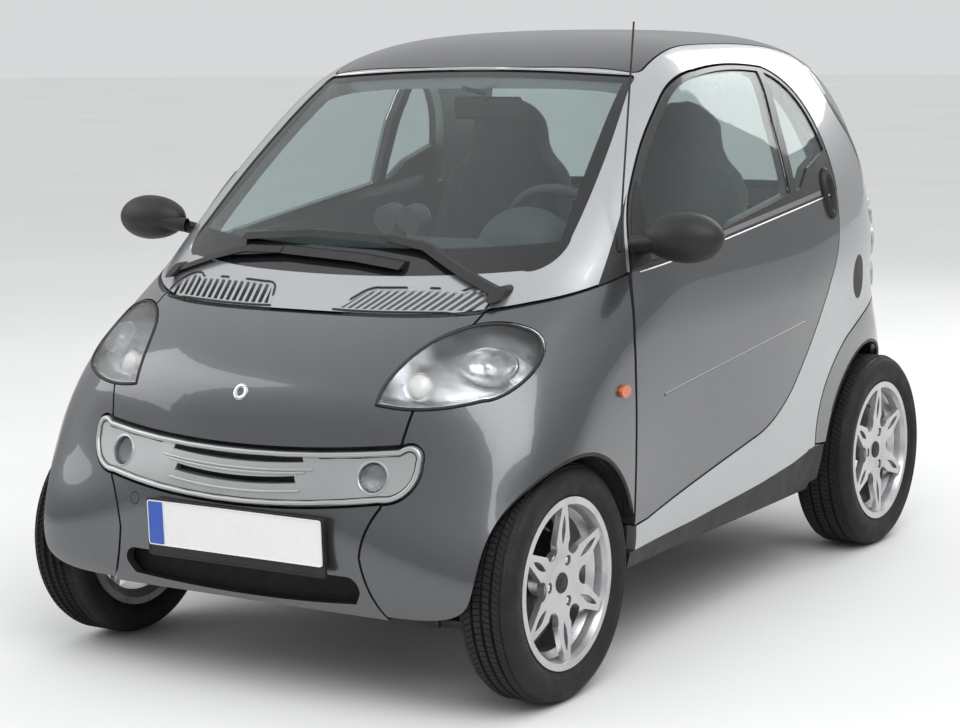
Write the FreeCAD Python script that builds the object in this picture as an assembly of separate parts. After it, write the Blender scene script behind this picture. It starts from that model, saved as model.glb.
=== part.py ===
import FreeCAD, Part
import math
import os

# Two-seat microcar. Millimetres. The front faces -Y, the car's left is +X, up is +Z.
# The origin lies on the ground, below the middle of the body.

V = FreeCAD.Vector
os.makedirs("parts", exist_ok=True)

# Overall sizes
WHEELBASE = 1812.0
FRONT_OVERHANG = 374.0
REAR_OVERHANG = 314.0
AXLES_BACK = 30.0
FRONT_Y = AXLES_BACK - WHEELBASE / 2
REAR_Y = AXLES_BACK + WHEELBASE / 2
BODY_WIDTH = 1514.0
HEIGHT = 1549.0
LOW_EDGE = 230.0
SILL_EDGE = 255.0

# Wheels and steering
TYRE_R = 284.0
TYRE_W_FRONT = 150.0
TYRE_W_REAR = 175.0
WHEEL_FACE_FRONT = 728.0
WHEEL_FACE_REAR = 744.0
RIM_LIP_R = 205.0
RIM_SEAT_R = 190.0
SPOKES = 6
BOLT_CIRCLE_R = 56.0
BOLTS = 3
HUB_PIN_R = 16.0
FIT_GAP = 0.06
ARCH_GAP_FRONT = 26.0
ARCH_GAP_REAR = 50.0
REAR_ARCH_AHEAD = 30.0
KINGPIN_X = 590.0
KINGPIN_R = 12.0
LINER_T = 4.0
WELL_INNER_X = 400.0
WELL_INNER_X_REAR = 560.0

# Body walls and gaps
PANEL_T = 25.0
WALL_T = 60.0
DOOR_T = 70.0
FRAME_T = 32.0
GLASS_INSET = 4.0
GLASS_T = 5.0
SHUT_GAP = 6.0
SEAT_GAP = 0.3
LIP_GAP = 0.8
LIP_W = 22.0
TRACK_GAP = 4.0

# Hinge lines
DOOR_HINGE_X = 739.0
DOOR_HINGE_Y = -571.0
HATCH_HINGE_Y = 752.0
HATCH_HINGE_Z = 1528.0
FLAP_HINGE_Y = 1247.0
FLAP_HINGE_Z = 562.0

# Body sections from the bottom up. Each ring is a superellipse in plan, made of a
# front half and a rear half that meet at y_mid, with swellings over the wheels.
# z, y_front, y_rear, half_width, y_mid, n_front, n_rear, corner_swell, arch_swell
SECTIONS = [
    (170, -1135, 1150, 665, -740, 3.8, 6.0, 70, 10),
    (230, -1188, 1200, 695, -860, 4.4, 8.0, 88, 26),
    (320, -1217, 1238, 712, -860, 3.8, 12.0, 86, 40),
    (420, -1240, 1250, 717, -860, 2.6, 14.0, 86, 42),
    (510, -1232, 1250, 721, -850, 2.2, 14.0, 70, 40),
    (610, -1195, 1246, 728, -830, 2.3, 12.0, 44, 28),
    (700, -1175, 1240, 734, -720, 2.6, 9.0, 22, 14),
    (770, -1140, 1235, 738, -600, 2.8, 8.0, 8, 5),
    (840, -1045, 1232, 740, -450, 3.0, 7.5, 0, 0),
    (900, -940, 1228, 738, -320, 3.3, 7.5, 0, 0),
    (945, -840, 1222, 733, -240, 3.6, 7.5, 0, 0),
    (1000, -748, 1212, 726, -180, 4.1, 7.5, 0, 0),
    (1090, -622, 1190, 709, -60, 4.7, 7.5, 0, 0),
    (1190, -492, 1155, 682, 20, 5.2, 8.0, 0, 0),
    (1290, -360, 1108, 650, 80, 5.2, 8.0, 0, 0),
    (1380, -240, 1042, 617, 140, 5.2, 7.5, 0, 0),
    (1445, -145, 965, 580, 190, 4.8, 6.5, 0, 0),
    (1495, -30, 870, 515, 230, 4.2, 5.5, 0, 0),
    (1528, 80, 745, 420, 260, 3.6, 4.2, 0, 0),
    (1543, 170, 590, 280, 290, 3.0, 3.0, 0, 0),
    (1548, 230, 450, 150, 300, 2.5, 2.5, 0, 0),
    (1549, 260, 370, 75, 300, 2.2, 2.2, 0, 0),
]
COLUMNS = 32
DRAWN_WHEELBASE = 1812.0
DRAWN_OVERHANGS = (374.0, 314.0)
DRAWN_WIDTH = 1514.0
DRAWN_HEIGHT = 1549.0
WAIST_Z = 600.0


# The outlines below are drawn on the nominal body; these three put them on the real one.
def fx(x):
    return x * BODY_WIDTH / DRAWN_WIDTH


def fy(y):
    front = AXLES_BACK - DRAWN_WHEELBASE / 2
    rear = AXLES_BACK + DRAWN_WHEELBASE / 2
    if y < front:
        return FRONT_Y + (y - front) * FRONT_OVERHANG / DRAWN_OVERHANGS[0]
    if y > rear:
        return REAR_Y + (y - rear) * REAR_OVERHANG / DRAWN_OVERHANGS[1]
    return AXLES_BACK + (y - AXLES_BACK) * WHEELBASE / DRAWN_WHEELBASE


def fz(z):
    if z < WAIST_Z:
        return z
    return WAIST_Z + (z - WAIST_Z) * (HEIGHT - WAIST_Z) / (DRAWN_HEIGHT - WAIST_Z)


def ring_point(row, angle):
    z, y_front, y_rear, half_width, y_mid, n_front, n_rear, corner, arch = row
    c = math.cos(angle)
    s = math.sin(angle)
    reach = y_mid - y_front if c >= 0 else y_rear - y_mid
    n = n_front if c >= 0 else n_rear
    r = (abs(c) ** n + abs(s) ** n) ** (-1.0 / n)
    x = half_width * s * r
    y = y_mid - reach * c * r
    side = math.copysign(1.0, s)
    if c > 0:
        off = abs(math.degrees(math.asin(s))) - min(60.0, 54.0 + max(0.0, z - 320.0) / 32.0)
        swell = corner * math.exp(-(off / 16.0) ** 2)
        x += side * 0.62 * swell
        y -= 0.78 * swell
    if abs(s) > 0.4:
        over_rear = math.exp(-((y - 950) / 220.0) ** 2)
        over_front = math.exp(-((y + 876) / 200.0) ** 2)
        x += side * arch * (over_rear + over_front)
    return V(fx(x), fy(y), fz(z))


def body_skin(inset):
    """Closed solid of the body's outer form, drawn in by inset all round."""
    rows = []
    for row in SECTIONS:
        rows.append([ring_point(row, math.pi + 2 * math.pi * i / COLUMNS) for i in range(COLUMNS)])
    last = len(rows) - 1
    poles = []
    for j, row in enumerate(rows):
        below = rows[max(j - 1, 0)]
        above = rows[min(j + 1, last)]
        moved = []
        for i, p in enumerate(row):
            du = row[(i + 1) % COLUMNS] - row[i - 1]
            dv = above[i] - below[i]
            n = du.cross(dv)
            n.normalize()
            q = p - n * inset
            if j == 0:
                q = V(q.x, q.y, p.z)
            if j == last:
                q = V(p.x, p.y, p.z - inset)
            moved.append(q)
        poles.append(moved)
    grid = [[poles[j][i] for j in range(last + 1)] for i in range(COLUMNS)]
    surf = Part.BSplineSurface()
    u_knots = list(range(COLUMNS + 1))
    v_knots = list(range(last - 1))
    v_mults = [4] + [1] * (last - 3) + [4]
    surf.buildFromPolesMultsKnots(grid, [1] * (COLUMNS + 1), v_mults, u_knots, v_knots,
                                  True, False, 3, 3)
    skin = surf.toShape()
    ends = [surf.vIso(v_knots[0]).toShape(), surf.vIso(v_knots[-1]).toShape()]
    caps = [Part.Face(Part.Wire([e])) for e in ends]
    shell = Part.makeShell([skin] + caps)
    shell.sewShape()
    solid = Part.Solid(shell)
    if solid.Volume < 0:
        solid.reverse()
    return solid


OUTER = body_skin(0)
UNDER_PANEL = body_skin(PANEL_T)
UNDER_WALL = body_skin(WALL_T)
UNDER_DOOR = body_skin(DOOR_T)
UNDER_FRAME = body_skin(FRAME_T)
OVER_GLASS = body_skin(GLASS_INSET)
UNDER_GLASS = body_skin(GLASS_INSET + GLASS_T)


def skin_between(outer, inner):
    """Shell of the body between two insets, as a solid."""
    return body_skin(outer).cut(body_skin(inner))


OUTER = body_skin(0)
UNDER_PANEL = body_skin(PANEL_T)
UNDER_WALL = body_skin(WALL_T)
UNDER_DOOR = body_skin(DOOR_T)
UNDER_FRAME = body_skin(FRAME_T)
UNDER_LIP = body_skin(FRAME_T + LIP_GAP)
BEHIND_PANEL = body_skin(PANEL_T + SEAT_GAP)
BEHIND_WALL = body_skin(WALL_T + SEAT_GAP)
OVER_GLASS = body_skin(GLASS_INSET)
UNDER_GLASS = body_skin(GLASS_INSET + GLASS_T)


# Points of an outline, given on the drawn body.
def side_point(y, z):
    return V(0, fy(y), fz(z))


def front_point(x, z):
    return V(fx(x), 0, fz(z))


def top_point(x, y):
    return V(fx(x), fy(y), 0)


def outline(place, start, *steps):
    """Closed wire: a step of two numbers is a line, one of four an arc by a mid point."""
    here = place(*start)
    first = here
    edges = []
    for step in steps:
        there = place(*step[-2:])
        if len(step) == 4:
            edges.append(Part.Arc(here, place(*step[:2]), there).toShape())
        else:
            edges.append(Part.makeLine(here, there))
        here = there
    if here.distanceToPoint(first) > 1e-6:
        edges.append(Part.makeLine(here, first))
    return Part.Wire(edges)


def band(place, points, thickness):
    """Closed wire of even thickness about a bent line."""
    rows = [V(*p, 0) for p in points]
    left = []
    right = []
    for i, p in enumerate(rows):
        a = p - rows[i - 1] if i else rows[1] - p
        b = rows[i + 1] - p if i + 1 < len(rows) else a
        a.normalize()
        b.normalize()
        n = V(-a.y - b.y, a.x + b.x, 0)
        n.normalize()
        reach = thickness / 2 / (n.x * -a.y + n.y * a.x)
        left.append(p + n * reach)
        right.append(p - n * reach)
    loop = left + right[::-1]
    return outline(place, *[(q.x, q.y) for q in loop])


X = V(1, 0, 0)
Y = V(0, 1, 0)
Z = V(0, 0, 1)
FAR = 2000.0
HALF_GAP = SHUT_GAP / 2


def prism(wire, grow, start, length, direction):
    """Prism on an outline grown by grow, from start along direction."""
    if grow:
        wire = wire.makeOffset2D(grow)
    face = Part.Face(wire)
    face.translate(direction * start)
    return face.extrude(direction * length)


def cross_prism(wire, grow=0.0):
    return prism(wire, grow, -FAR, 2 * FAR, X)


def front_prism(wire, grow=0.0, depth=FAR):
    return prism(wire, grow, -FAR, depth, Y)


def rear_prism(wire, grow=0.0, start=400.0):
    return prism(wire, grow, start, FAR, Y)


def top_prism(wire, grow=0.0, start=700.0):
    return prism(wire, grow, start, FAR, Z)


# What belongs to the car's left side, clear of the windscreen.
LEFT_ZONE = front_prism(outline(front_point, (597, -100), (597, 1030), (505, 1450), (505, 1800),
                                (1200, 1800), (1200, -100)), 0, 2 * FAR)


def left_prism(wire, grow=0.0):
    return prism(wire, grow, 30, FAR, X).common(LEFT_ZONE)


def mirrored(shape):
    return shape.mirror(V(0, 0, 0), X)


def pair(shape):
    return [shape, mirrored(shape)]


def box(x0, x1, y0, y1, z0, z1):
    return Part.makeBox(x1 - x0, y1 - y0, z1 - z0, V(x0, y0, z0))


def rod(a, b, r):
    d = b - a
    return Part.makeCylinder(r, d.Length, a, d)


def spheroid(centre, half, r):
    """Egg turned about a line along X, with a small flat at each tip: half its length, radius."""
    tip = 0.08
    arc = Part.ArcOfEllipse(Part.Ellipse(centre, half, r), tip, math.pi - tip).toShape()
    a = arc.Vertexes[0].Point
    b = arc.Vertexes[-1].Point
    foot_a = V(a.x, centre.y, centre.z)
    foot_b = V(b.x, centre.y, centre.z)
    lines = [Part.makeLine(b, foot_b), Part.makeLine(foot_b, foot_a), Part.makeLine(foot_a, a)]
    return Part.Face(Part.Wire([arc] + lines)).revolve(centre, X, 360)


def cut_all(shape, tools):
    return shape.cut(tools)


def fuse_all(shapes):
    whole = shapes[0]
    for shape in shapes[1:]:
        whole = whole.fuse(shape)
    return whole.removeSplitter()


def moved(shape, x, y, z):
    copy = shape.copy()
    copy.translate(V(x, y, z))
    return copy


def save(name, shapes):
    """One STEP file for a node; its solids do not touch each other."""
    if not isinstance(shapes, list):
        shapes = [shapes]
    solids = [s for shape in shapes for s in shape.Solids]
    whole = solids[0] if len(solids) == 1 else Part.makeCompound(solids)
    whole.exportStep("parts/" + name + ".step")
    bad = [s for s in solids if not s.isValid()]
    volume = sum(s.Volume for s in solids) / 1e6
    print(name, len(solids), "solids", len(bad), "bad", round(volume, 2), "l")


# Outlines on the sides: doors, dark front, rear fenders, skirts.
DOOR = outline(side_point, (-578, 362), (-578, 820), (-560, 893, -529, 975),
               (-480, 1068, -401, 1165), (-258, 1291, -125, 1386), (-42, 1425, 57, 1443),
               (240, 1452, 440, 1438), (550, 1380, 638, 1265), (672, 1150, 668, 1030),
               (645, 940, 590, 850), (482, 715, 340, 566), (225, 495, 100, 462), (-505, 366))
BELT = outline(side_point, (-700, 962), (760, 1088), (760, 1600), (-700, 1600))
GLASS_LINE = outline(side_point, (-700, 962), (-520, 985), (440, 1107), (508, 1155),
                     (603, 1185), (760, 1230), (760, 1600), (-700, 1600))
DIVIDER = outline(side_point, (363, 1060), (374, 1287), (414, 1470), (444, 1470),
                  (415, 1284), (400, 1060))
NOSE = outline(side_point, (-1500, 0), (-1500, 893), (-960, 896), (-905, 902, -851, 912),
               (-776, 927), (-725, 936, -632, 955), (-534, 977), (-565, 893, -583, 820),
               (-583, 0))
FENDER = outline(side_point, (509, 374), (509, 415), (530, 486, 580, 560), (640, 612, 715, 655),
                 (850, 697, 1000, 728), (1100, 742, 1250, 750), (1500, 750), (1500, 100),
                 (620, 100), (620, 362))
SKIRT = outline(side_point, (-586, SILL_EDGE), (-586, 296), (-230, 304), (157, 326),
                (366, 346), (505, 370), (575, 362), (540, 320), (500, 245))
PILLAR_FOOT = outline(side_point, (-632, 955), (-541, 977), (-489, 1070, -412, 1160),
                      (-520, 1060, -632, 955))
MIRROR_PLATE = outline(side_point, (-519, 985), (-470, 1073, -372, 1186), (-412, 1105, -448, 996))
HATCH = outline(side_point, (755, 1700), (755, 1445), (801, 1330, 895, 1229), (1075, 1015),
                (1700, 1015), (1700, 1700))

# Outlines on the front.
HOOD = outline(front_point, (-489, 1000), (489, 1000), (489, 912), (464, 780, 435, 634),
               (0, 612, -435, 634), (-464, 780, -489, 912))
LAMP = outline(front_point, (362, 722), (376, 790, 418, 852), (508, 888, 600, 876),
               (641, 846, 657, 803), (642, 757, 590, 732), (470, 714, 362, 722))
INSERT = outline(front_point, (-434, 628), (0, 606, 434, 628), (487, 622, 491, 597),
                 (478, 542, 401, 504), (0, 476, -401, 504), (-478, 542, -491, 597),
                 (-487, 622, -434, 628))
BUMPER = outline(front_point, (-438, 640), (438, 640), (405, 495), (372, 432, 360, 380),
                 (384, 290, 440, 200), (-440, 200), (-384, 290, -360, 380),
                 (-372, 432, -405, 495))
INTAKE = outline(front_point, (-315, 330), (315, 330), (345, 318, 352, 290), (335, 262),
                 (0, 246, -335, 262), (-352, 290), (-345, 318, -315, 330))
SCREEN = outline(front_point, (-505, 993), (0, 972, 505, 993), (560, 1010, 571, 1066),
                 (545, 1240, 494, 1412), (489, 1430, 468, 1437), (0, 1454, -468, 1437),
                 (-489, 1430, -494, 1412), (-545, 1240, -571, 1066), (-560, 1010, -505, 993))

# Outlines on the roof, the cowl and the tail.
ROOF = outline(top_point, (-466, -98), (0, -112, 466, -98), (484, -90, 490, -72),
               (480, 300, 524, 749), (-524, 749), (-480, 300, -490, -72), (-484, -90, -466, -98))
VENT = outline(top_point, (96, -925), (132, -858), (150, -838, 178, -832), (402, -806),
               (470, -800, 484, -842), (470, -868, 436, -880), (250, -918, 96, -925))
TAIL = outline(front_point, (-500, 556), (500, 556), (520, 380, 500, 200), (-500, 200),
               (-520, 380, -500, 556))
FLAP = outline(front_point, (-505, 562), (505, 562), (540, 800, 520, 980), (486, 1004),
               (-486, 1004), (-520, 980), (-540, 800, -505, 562))
REAR_PANE = outline(front_point, (-800, 1062), (800, 1062), (800, 1385), (0, 1450, -800, 1385))

LAMP_HEIGHTS = [985.0, 893.0, 801.0]
TAIL_LAMP_X = 640.0
TAIL_LAMP_R = 37.0
FOG_X = 376.0
FOG_Z = 560.0
FOG_R = 36.0
QUARTER_OVAL = (820.0, 818.0, 52.0, 64.0)
REPEATER_OVAL = (-646.0, 707.0, 24.0, 15.0)
REAR_START = 690.0
SCREEN_END = FAR - 95


def well(y, gap, inner_x, spare=0.0):
    """Wheel well on the left, as a cylinder open to the outside."""
    return Part.makeCylinder(TYRE_R + gap + spare, FAR, V(inner_x, y, TYRE_R), X)


def wells(spare=0.0, inward=0.0):
    front = well(FRONT_Y, ARCH_GAP_FRONT, WELL_INNER_X - inward, spare)
    rear = well(REAR_Y - REAR_ARCH_AHEAD, ARCH_GAP_REAR, WELL_INNER_X_REAR - inward, spare)
    return pair(front) + pair(rear)


def ellipse_prism(oval, grow=0.0):
    """Elliptical prism through the left side, from centre y, z and the two radii."""
    y, z, ry, rz = oval
    centre = side_point(y, z)
    ends = [centre + Y * (ry + grow), centre + Z * (rz + grow)]
    if rz > ry:
        ends.reverse()
    curve = Part.Ellipse(ends[0], ends[1], centre).toShape()
    return prism(Part.Wire([curve]), 0, 300, FAR, X).common(LEFT_ZONE)


def skin_panel(region, under=None):
    """Part of the body's wall within a region, from the outer form to the inner one."""
    return region.common(OUTER).cut(under or UNDER_PANEL)


LOW_CUT = box(-FAR, FAR, -FAR, FAR, 0, LOW_EDGE)
LAMPS_GROWN = pair(front_prism(LAMP, HALF_GAP))
HOOD_GROWN = front_prism(HOOD, HALF_GAP + 0.5)
INSERT_GROWN = front_prism(INSERT, HALF_GAP + 0.5)
BUMPER_GROWN = front_prism(BUMPER, HALF_GAP + 0.5)
NOSE_ZONE = cross_prism(NOSE, -HALF_GAP)
FLAP_GROWN = rear_prism(FLAP, HALF_GAP, REAR_START)
TAIL_GROWN = rear_prism(TAIL, HALF_GAP + 0.5, REAR_START)


# Doors
FRAME_BAR = 14.0


def door_set():
    whole = left_prism(DOOR, -HALF_GAP)
    lower = skin_panel(whole.cut(left_prism(BELT)), UNDER_DOOR)
    upper = skin_panel(whole.common(left_prism(BELT, -SEAT_GAP)), UNDER_FRAME)
    bars = left_prism(DOOR, -FRAME_BAR)
    clear = bars.common(left_prism(GLASS_LINE)).cut(left_prism(DIVIDER))
    upper = upper.cut(clear)
    inner = left_prism(DOOR, -FRAME_BAR - SEAT_GAP).common(left_prism(GLASS_LINE, -SEAT_GAP))
    glass = inner.cut(left_prism(DIVIDER, SEAT_GAP)).common(OVER_GLASS).cut(UNDER_GLASS)
    return lower, upper, glass


# Mirrors, one on each door
MIRROR_AT = V(840, -500, 1064)
MIRROR_HALF = 96.0
MIRROR_R = 58.0
MIRROR_CUT = 26.0


def mirror_body():
    plate = left_prism(MIRROR_PLATE).common(body_skin(-3)).cut(body_skin(-SEAT_GAP))
    egg = spheroid(MIRROR_AT, MIRROR_HALF, MIRROR_R)
    egg = egg.cut(box(0, FAR, MIRROR_AT.y + MIRROR_CUT, FAR, 0, FAR))
    arm = rod(V(694, -468, 1030), MIRROR_AT, 17).cut(body_skin(-1))
    return fuse_all([plate, egg, arm])


door, frame, glass = door_set()
mirror = mirror_body()
for side, turn in (("left", lambda s: s), ("right", mirrored)):
    save("door_" + side, turn(door))
    save("window_frame_" + side, turn(frame))
    save("door_glass_" + side, turn(glass))
    save("mirror_" + side, turn(mirror))


# Front panels
def front_panels():
    bonnet = skin_panel(front_prism(HOOD, -HALF_GAP).common(NOSE_ZONE))
    bonnet = cut_all(bonnet, LAMPS_GROWN)
    shell_front = skin_panel(NOSE_ZONE)
    around = [HOOD_GROWN, INSERT_GROWN, BUMPER_GROWN, LOW_CUT]
    fenders = cut_all(shell_front, around + LAMPS_GROWN + wells())
    bumper = shell_front.common(front_prism(BUMPER, -HALF_GAP))
    bumper = cut_all(bumper, [INSERT_GROWN, HOOD_GROWN, LOW_CUT, front_prism(INTAKE)])
    insert = front_prism(INSERT, -HALF_GAP).common(shell_front)
    return bonnet, fenders, bumper, insert


bonnet, fenders, bumper, insert = front_panels()
save("bonnet", bonnet)
save("front_fenders", fenders)
save("front_bumper", bumper)

# Slots of the insert: top edge, low edge, half width, sag at the middle
SLOTS = [(600.0, 585.0, 190.0, 9.0), (553.0, 537.0, 176.0, 10.0)]
for top, low, half, sag in SLOTS:
    slot = outline(front_point, (-half, top), (0, top - sag, half, top), (half + 6, low),
                   (0, low - sag, -half - 6, low))
    insert = insert.cut(front_prism(slot))
fogs = []
for x in (-FOG_X, FOG_X):
    centre = V(fx(x), -FAR, FOG_Z)
    insert = insert.cut(Part.makeCylinder(FOG_R + SEAT_GAP, FAR, centre, Y))
    fogs.append(Part.makeCylinder(FOG_R, FAR, centre, Y).common(OVER_GLASS).cut(UNDER_PANEL))
save("grille_insert", insert)
save("fog_lamps", fogs)

# Headlamps: a lens on the rim of an open bowl
BOWL_T = 6.0
lamp_zone = front_prism(LAMP, -0.5)
save("headlamp_lenses", pair(lamp_zone.common(OUTER).cut(OVER_GLASS)))
bowl = lamp_zone.common(body_skin(GLASS_INSET + SEAT_GAP)).cut(UNDER_WALL)
bowl = bowl.cut(front_prism(LAMP, -0.5 - BOWL_T).cut(body_skin(WALL_T - BOWL_T)))
save("headlamp_housings", pair(bowl))

# Windscreen and roof
screen = front_prism(SCREEN, -SEAT_GAP, SCREEN_END).common(OVER_GLASS).cut(UNDER_GLASS)
save("windscreen", screen)
save("roof_panel", skin_panel(top_prism(ROOF, -HALF_GAP).cut(front_prism(SCREEN, HALF_GAP, SCREEN_END))))


# Tail: fenders, bumper, flap, hatch
def tail_panels():
    fenders = skin_panel(cross_prism(FENDER, -HALF_GAP))
    corner = box(-506.5, 506.5, REAR_START, FAR, 548, 568)
    zone = TAIL_GROWN.fuse(FLAP_GROWN).fuse(corner)
    fenders = cut_all(fenders, [zone, LOW_CUT] + wells())
    bumper = skin_panel(rear_prism(TAIL, -HALF_GAP, REAR_START)).cut(LOW_CUT)
    flap = skin_panel(rear_prism(FLAP, -HALF_GAP, REAR_START), UNDER_FRAME)
    hatch_zone = cross_prism(HATCH, -HALF_GAP)
    pane = rear_prism(REAR_PANE, 0, REAR_START)
    pane_zone = cross_prism(HATCH, -HALF_GAP - LIP_W).common(pane)
    hatch = skin_panel(hatch_zone, UNDER_FRAME).cut(pane_zone)
    small = rear_prism(REAR_PANE, -SEAT_GAP, REAR_START)
    glass = cross_prism(HATCH, -HALF_GAP - LIP_W - SEAT_GAP).common(small)
    return fenders, bumper, flap, hatch, glass.common(OVER_GLASS).cut(UNDER_GLASS)


rear_fenders, rear_bumper, flap, hatch, hatch_glass = tail_panels()
save("rear_fenders", rear_fenders)
save("rear_bumper", rear_bumper)
save("tail_flap", flap)
save("hatch_frame", hatch)
save("hatch_glass", hatch_glass)

POST_DEPTH = 95.0


# Door hinges, on the front posts
HINGE_HEIGHTS = [(430, 480), (840, 890)]
HINGE_SHELL = skin_between(DOOR_T + 0.8, POST_DEPTH)
hinges = [HINGE_SHELL.common(box(600, 760, -585.7, -530, z0, z1)) for z0, z1 in HINGE_HEIGHTS]
save("door_hinges", [s for hinge in hinges for s in pair(hinge)])

# Silver cell: sills, pillars, roof frame, cowl, rear quarters and front posts
def lid_rebate(region, grown, shrunk):
    """Tools that cut an opening with a lip behind the lid that closes it."""
    return [region(grown).cut(UNDER_LIP), region(shrunk)]


def safety_cell():
    cell = OUTER.cut(UNDER_WALL)
    door_hole = left_prism(DOOR, HALF_GAP)
    swing = moved(door_hole, 0, TRACK_GAP, 0).common(left_prism(BELT))
    side_tools = [door_hole.fuse(swing).cut(UNDER_LIP), left_prism(DOOR, -LIP_W),
                  door_hole.cut(left_prism(BELT)),
                  left_prism(SKIRT, SEAT_GAP).cut(BEHIND_PANEL),
                  left_prism(PILLAR_FOOT, SEAT_GAP).cut(body_skin(8 + SEAT_GAP))]
    tools = [t for tool in side_tools for t in pair(tool)]
    tools += [cross_prism(NOSE, HALF_GAP), cross_prism(FENDER, HALF_GAP)]
    tools += lid_rebate(lambda grow: cross_prism(HATCH, grow), HALF_GAP, -LIP_W)
    tools += lid_rebate(lambda grow: rear_prism(FLAP, grow, REAR_START), HALF_GAP, -LIP_W)
    tools += [front_prism(SCREEN, 0, SCREEN_END), top_prism(ROOF, HALF_GAP).cut(BEHIND_PANEL)]
    tools += [box(-FAR, FAR, -FAR, FAR, 0, SILL_EDGE + 8)]
    tools += wells(LINER_T * 2 + 0.6, LINER_T + SEAT_GAP)
    tools += pair(top_prism(VENT, 0, 800).cut(body_skin(VENT_DEPTH)))
    for z in LAMP_HEIGHTS:
        tools += pair(tail_lamp_rod(z, SEAT_GAP))
    tools += pair(ellipse_prism(QUARTER_OVAL, SEAT_GAP).cut(body_skin(OVAL_DEPTH)))
    return cut_all(cell, tools)


def front_post():
    shell = skin_between(PANEL_T + 0.8, POST_DEPTH)
    tall = box(600, 760, -640, -586, SILL_EDGE + 10, 1000)
    foot = box(600, 760, -640, -560, SILL_EDGE + 10, 356)
    post = shell.common(tall.fuse(foot)).cut(left_prism(PILLAR_FOOT, SEAT_GAP))
    return cut_all(post, wells(LINER_T * 2 + 0.6, LINER_T + SEAT_GAP))


def tail_lamp_rod(z, grow=0.0):
    return Part.makeCylinder(TAIL_LAMP_R + grow, FAR, V(fx(TAIL_LAMP_X), fy(1000), fz(z)), Y)


VENT_DEPTH = 22.0
OVAL_DEPTH = 14.0
JACK_PADS = [(662.0, -400.0), (654.0, 380.0)]
cell = safety_cell()
post = front_post()
pads = [box(x - 12, x + 12, y - 40, y + 40, SILL_EDGE, SILL_EDGE + 9) for x, y in JACK_PADS]
cell = fuse_all([cell] + pair(post) + [half for pad in pads for half in pair(pad)])
save("safety_cell", cell)
tail_lamps = [tail_lamp_rod(z).common(OUTER).cut(UNDER_WALL) for z in LAMP_HEIGHTS]
save("tail_lamps", [s for lamp in tail_lamps for s in pair(lamp)])
save("pillar_feet", pair(left_prism(PILLAR_FOOT).common(OUTER).cut(body_skin(8))))
save("side_skirts", pair(skin_panel(left_prism(SKIRT))))
oval = ellipse_prism(QUARTER_OVAL).common(OUTER).cut(body_skin(OVAL_DEPTH - SEAT_GAP))
save("quarter_covers", pair(oval))
repeater = ellipse_prism(REPEATER_OVAL).common(body_skin(-9)).cut(body_skin(-SEAT_GAP))
save("side_repeaters", pair(repeater))

# Louvred vents in the cowl
SLAT_PITCH = 21.0
SLAT_GAP = 12.0
SLAT_COUNT = 17
SLAT_LEAN = 70.0
VENT_RIM = 9.0


def cowl_vent():
    plate = top_prism(VENT, -SEAT_GAP, 800).common(OUTER).cut(body_skin(VENT_DEPTH - SEAT_GAP))
    plate = plate.cut(cross_prism(NOSE, HALF_GAP))
    field = top_prism(VENT, -VENT_RIM, 800)
    for i in range(SLAT_COUNT):
        x = 128 + i * SLAT_PITCH - SLAT_LEAN / 2
        strip = outline(top_point, (x, -960), (x + SLAT_GAP, -960),
                        (x + SLAT_GAP + SLAT_LEAN, -780), (x + SLAT_LEAN, -780))
        slot = field.common(top_prism(strip, 0, 800))
        if slot.Volume > 1.0:
            plate = plate.cut(slot)
    return plate


save("cowl_vents", pair(cowl_vent()))

# Wipers: pivot cap, arm and blade, as widths along bent lines seen from the front
ARM_W = 14.0
BLADE_W = 16.0
# pivot, arm points, blade points
WIPERS = [((498, 948), [(498, 948), (360, 993), (224, 1040), (100, 1056)],
           [(195, 1043), (60, 1054), (-150, 1060), (-359, 1046)]),
          ((-520, 960), [(-520, 960), (-400, 1000), (-315, 1020), (-200, 1021)],
           [(194, 998), (44, 1011), (-200, 1021), (-370, 1010)])]
OVER_1 = body_skin(-2)
OVER_2 = body_skin(-12)
OVER_3 = body_skin(-18)


def wiper(pivot, arm_points, blade_points):
    arm = front_prism(band(front_point, arm_points, ARM_W), 0, SCREEN_END)
    arm = arm.common(OVER_2).cut(OVER_1)
    blade = front_prism(band(front_point, blade_points, BLADE_W), 0, SCREEN_END)
    blade = blade.common(body_skin(-10)).cut(body_skin(GLASS_INSET - 0.4))
    x, z = pivot
    cap = Part.makeCylinder(17, FAR - 500, V(fx(x), -FAR, fz(z)), Y)
    cap = cap.common(OVER_3).cut(body_skin(-0.4))
    return fuse_all([arm, blade, cap])


save("wipers", [wiper(*row) for row in WIPERS])

# Aerial on the left pillar foot
AERIAL_FOOT = V(669, -527, 1040)
AERIAL_TIP = V(640, -388, 1576)
lean = AERIAL_TIP - AERIAL_FOOT
lean.normalize()
aerial = rod(AERIAL_FOOT - lean * 12, AERIAL_TIP, 2.5)
aerial = fuse_all([aerial, rod(AERIAL_FOOT - lean * 12, AERIAL_FOOT + lean * 26, 6)])
save("aerial", aerial.cut(body_skin(-0.4)))


# Frame behind the front and rear panels, which carries them
CARRIER_T = 14.0
CARRIER_W = 16.0


def ring(prism_of, wire):
    return prism_of(wire, CARRIER_W).cut(prism_of(wire, -CARRIER_W))


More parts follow.
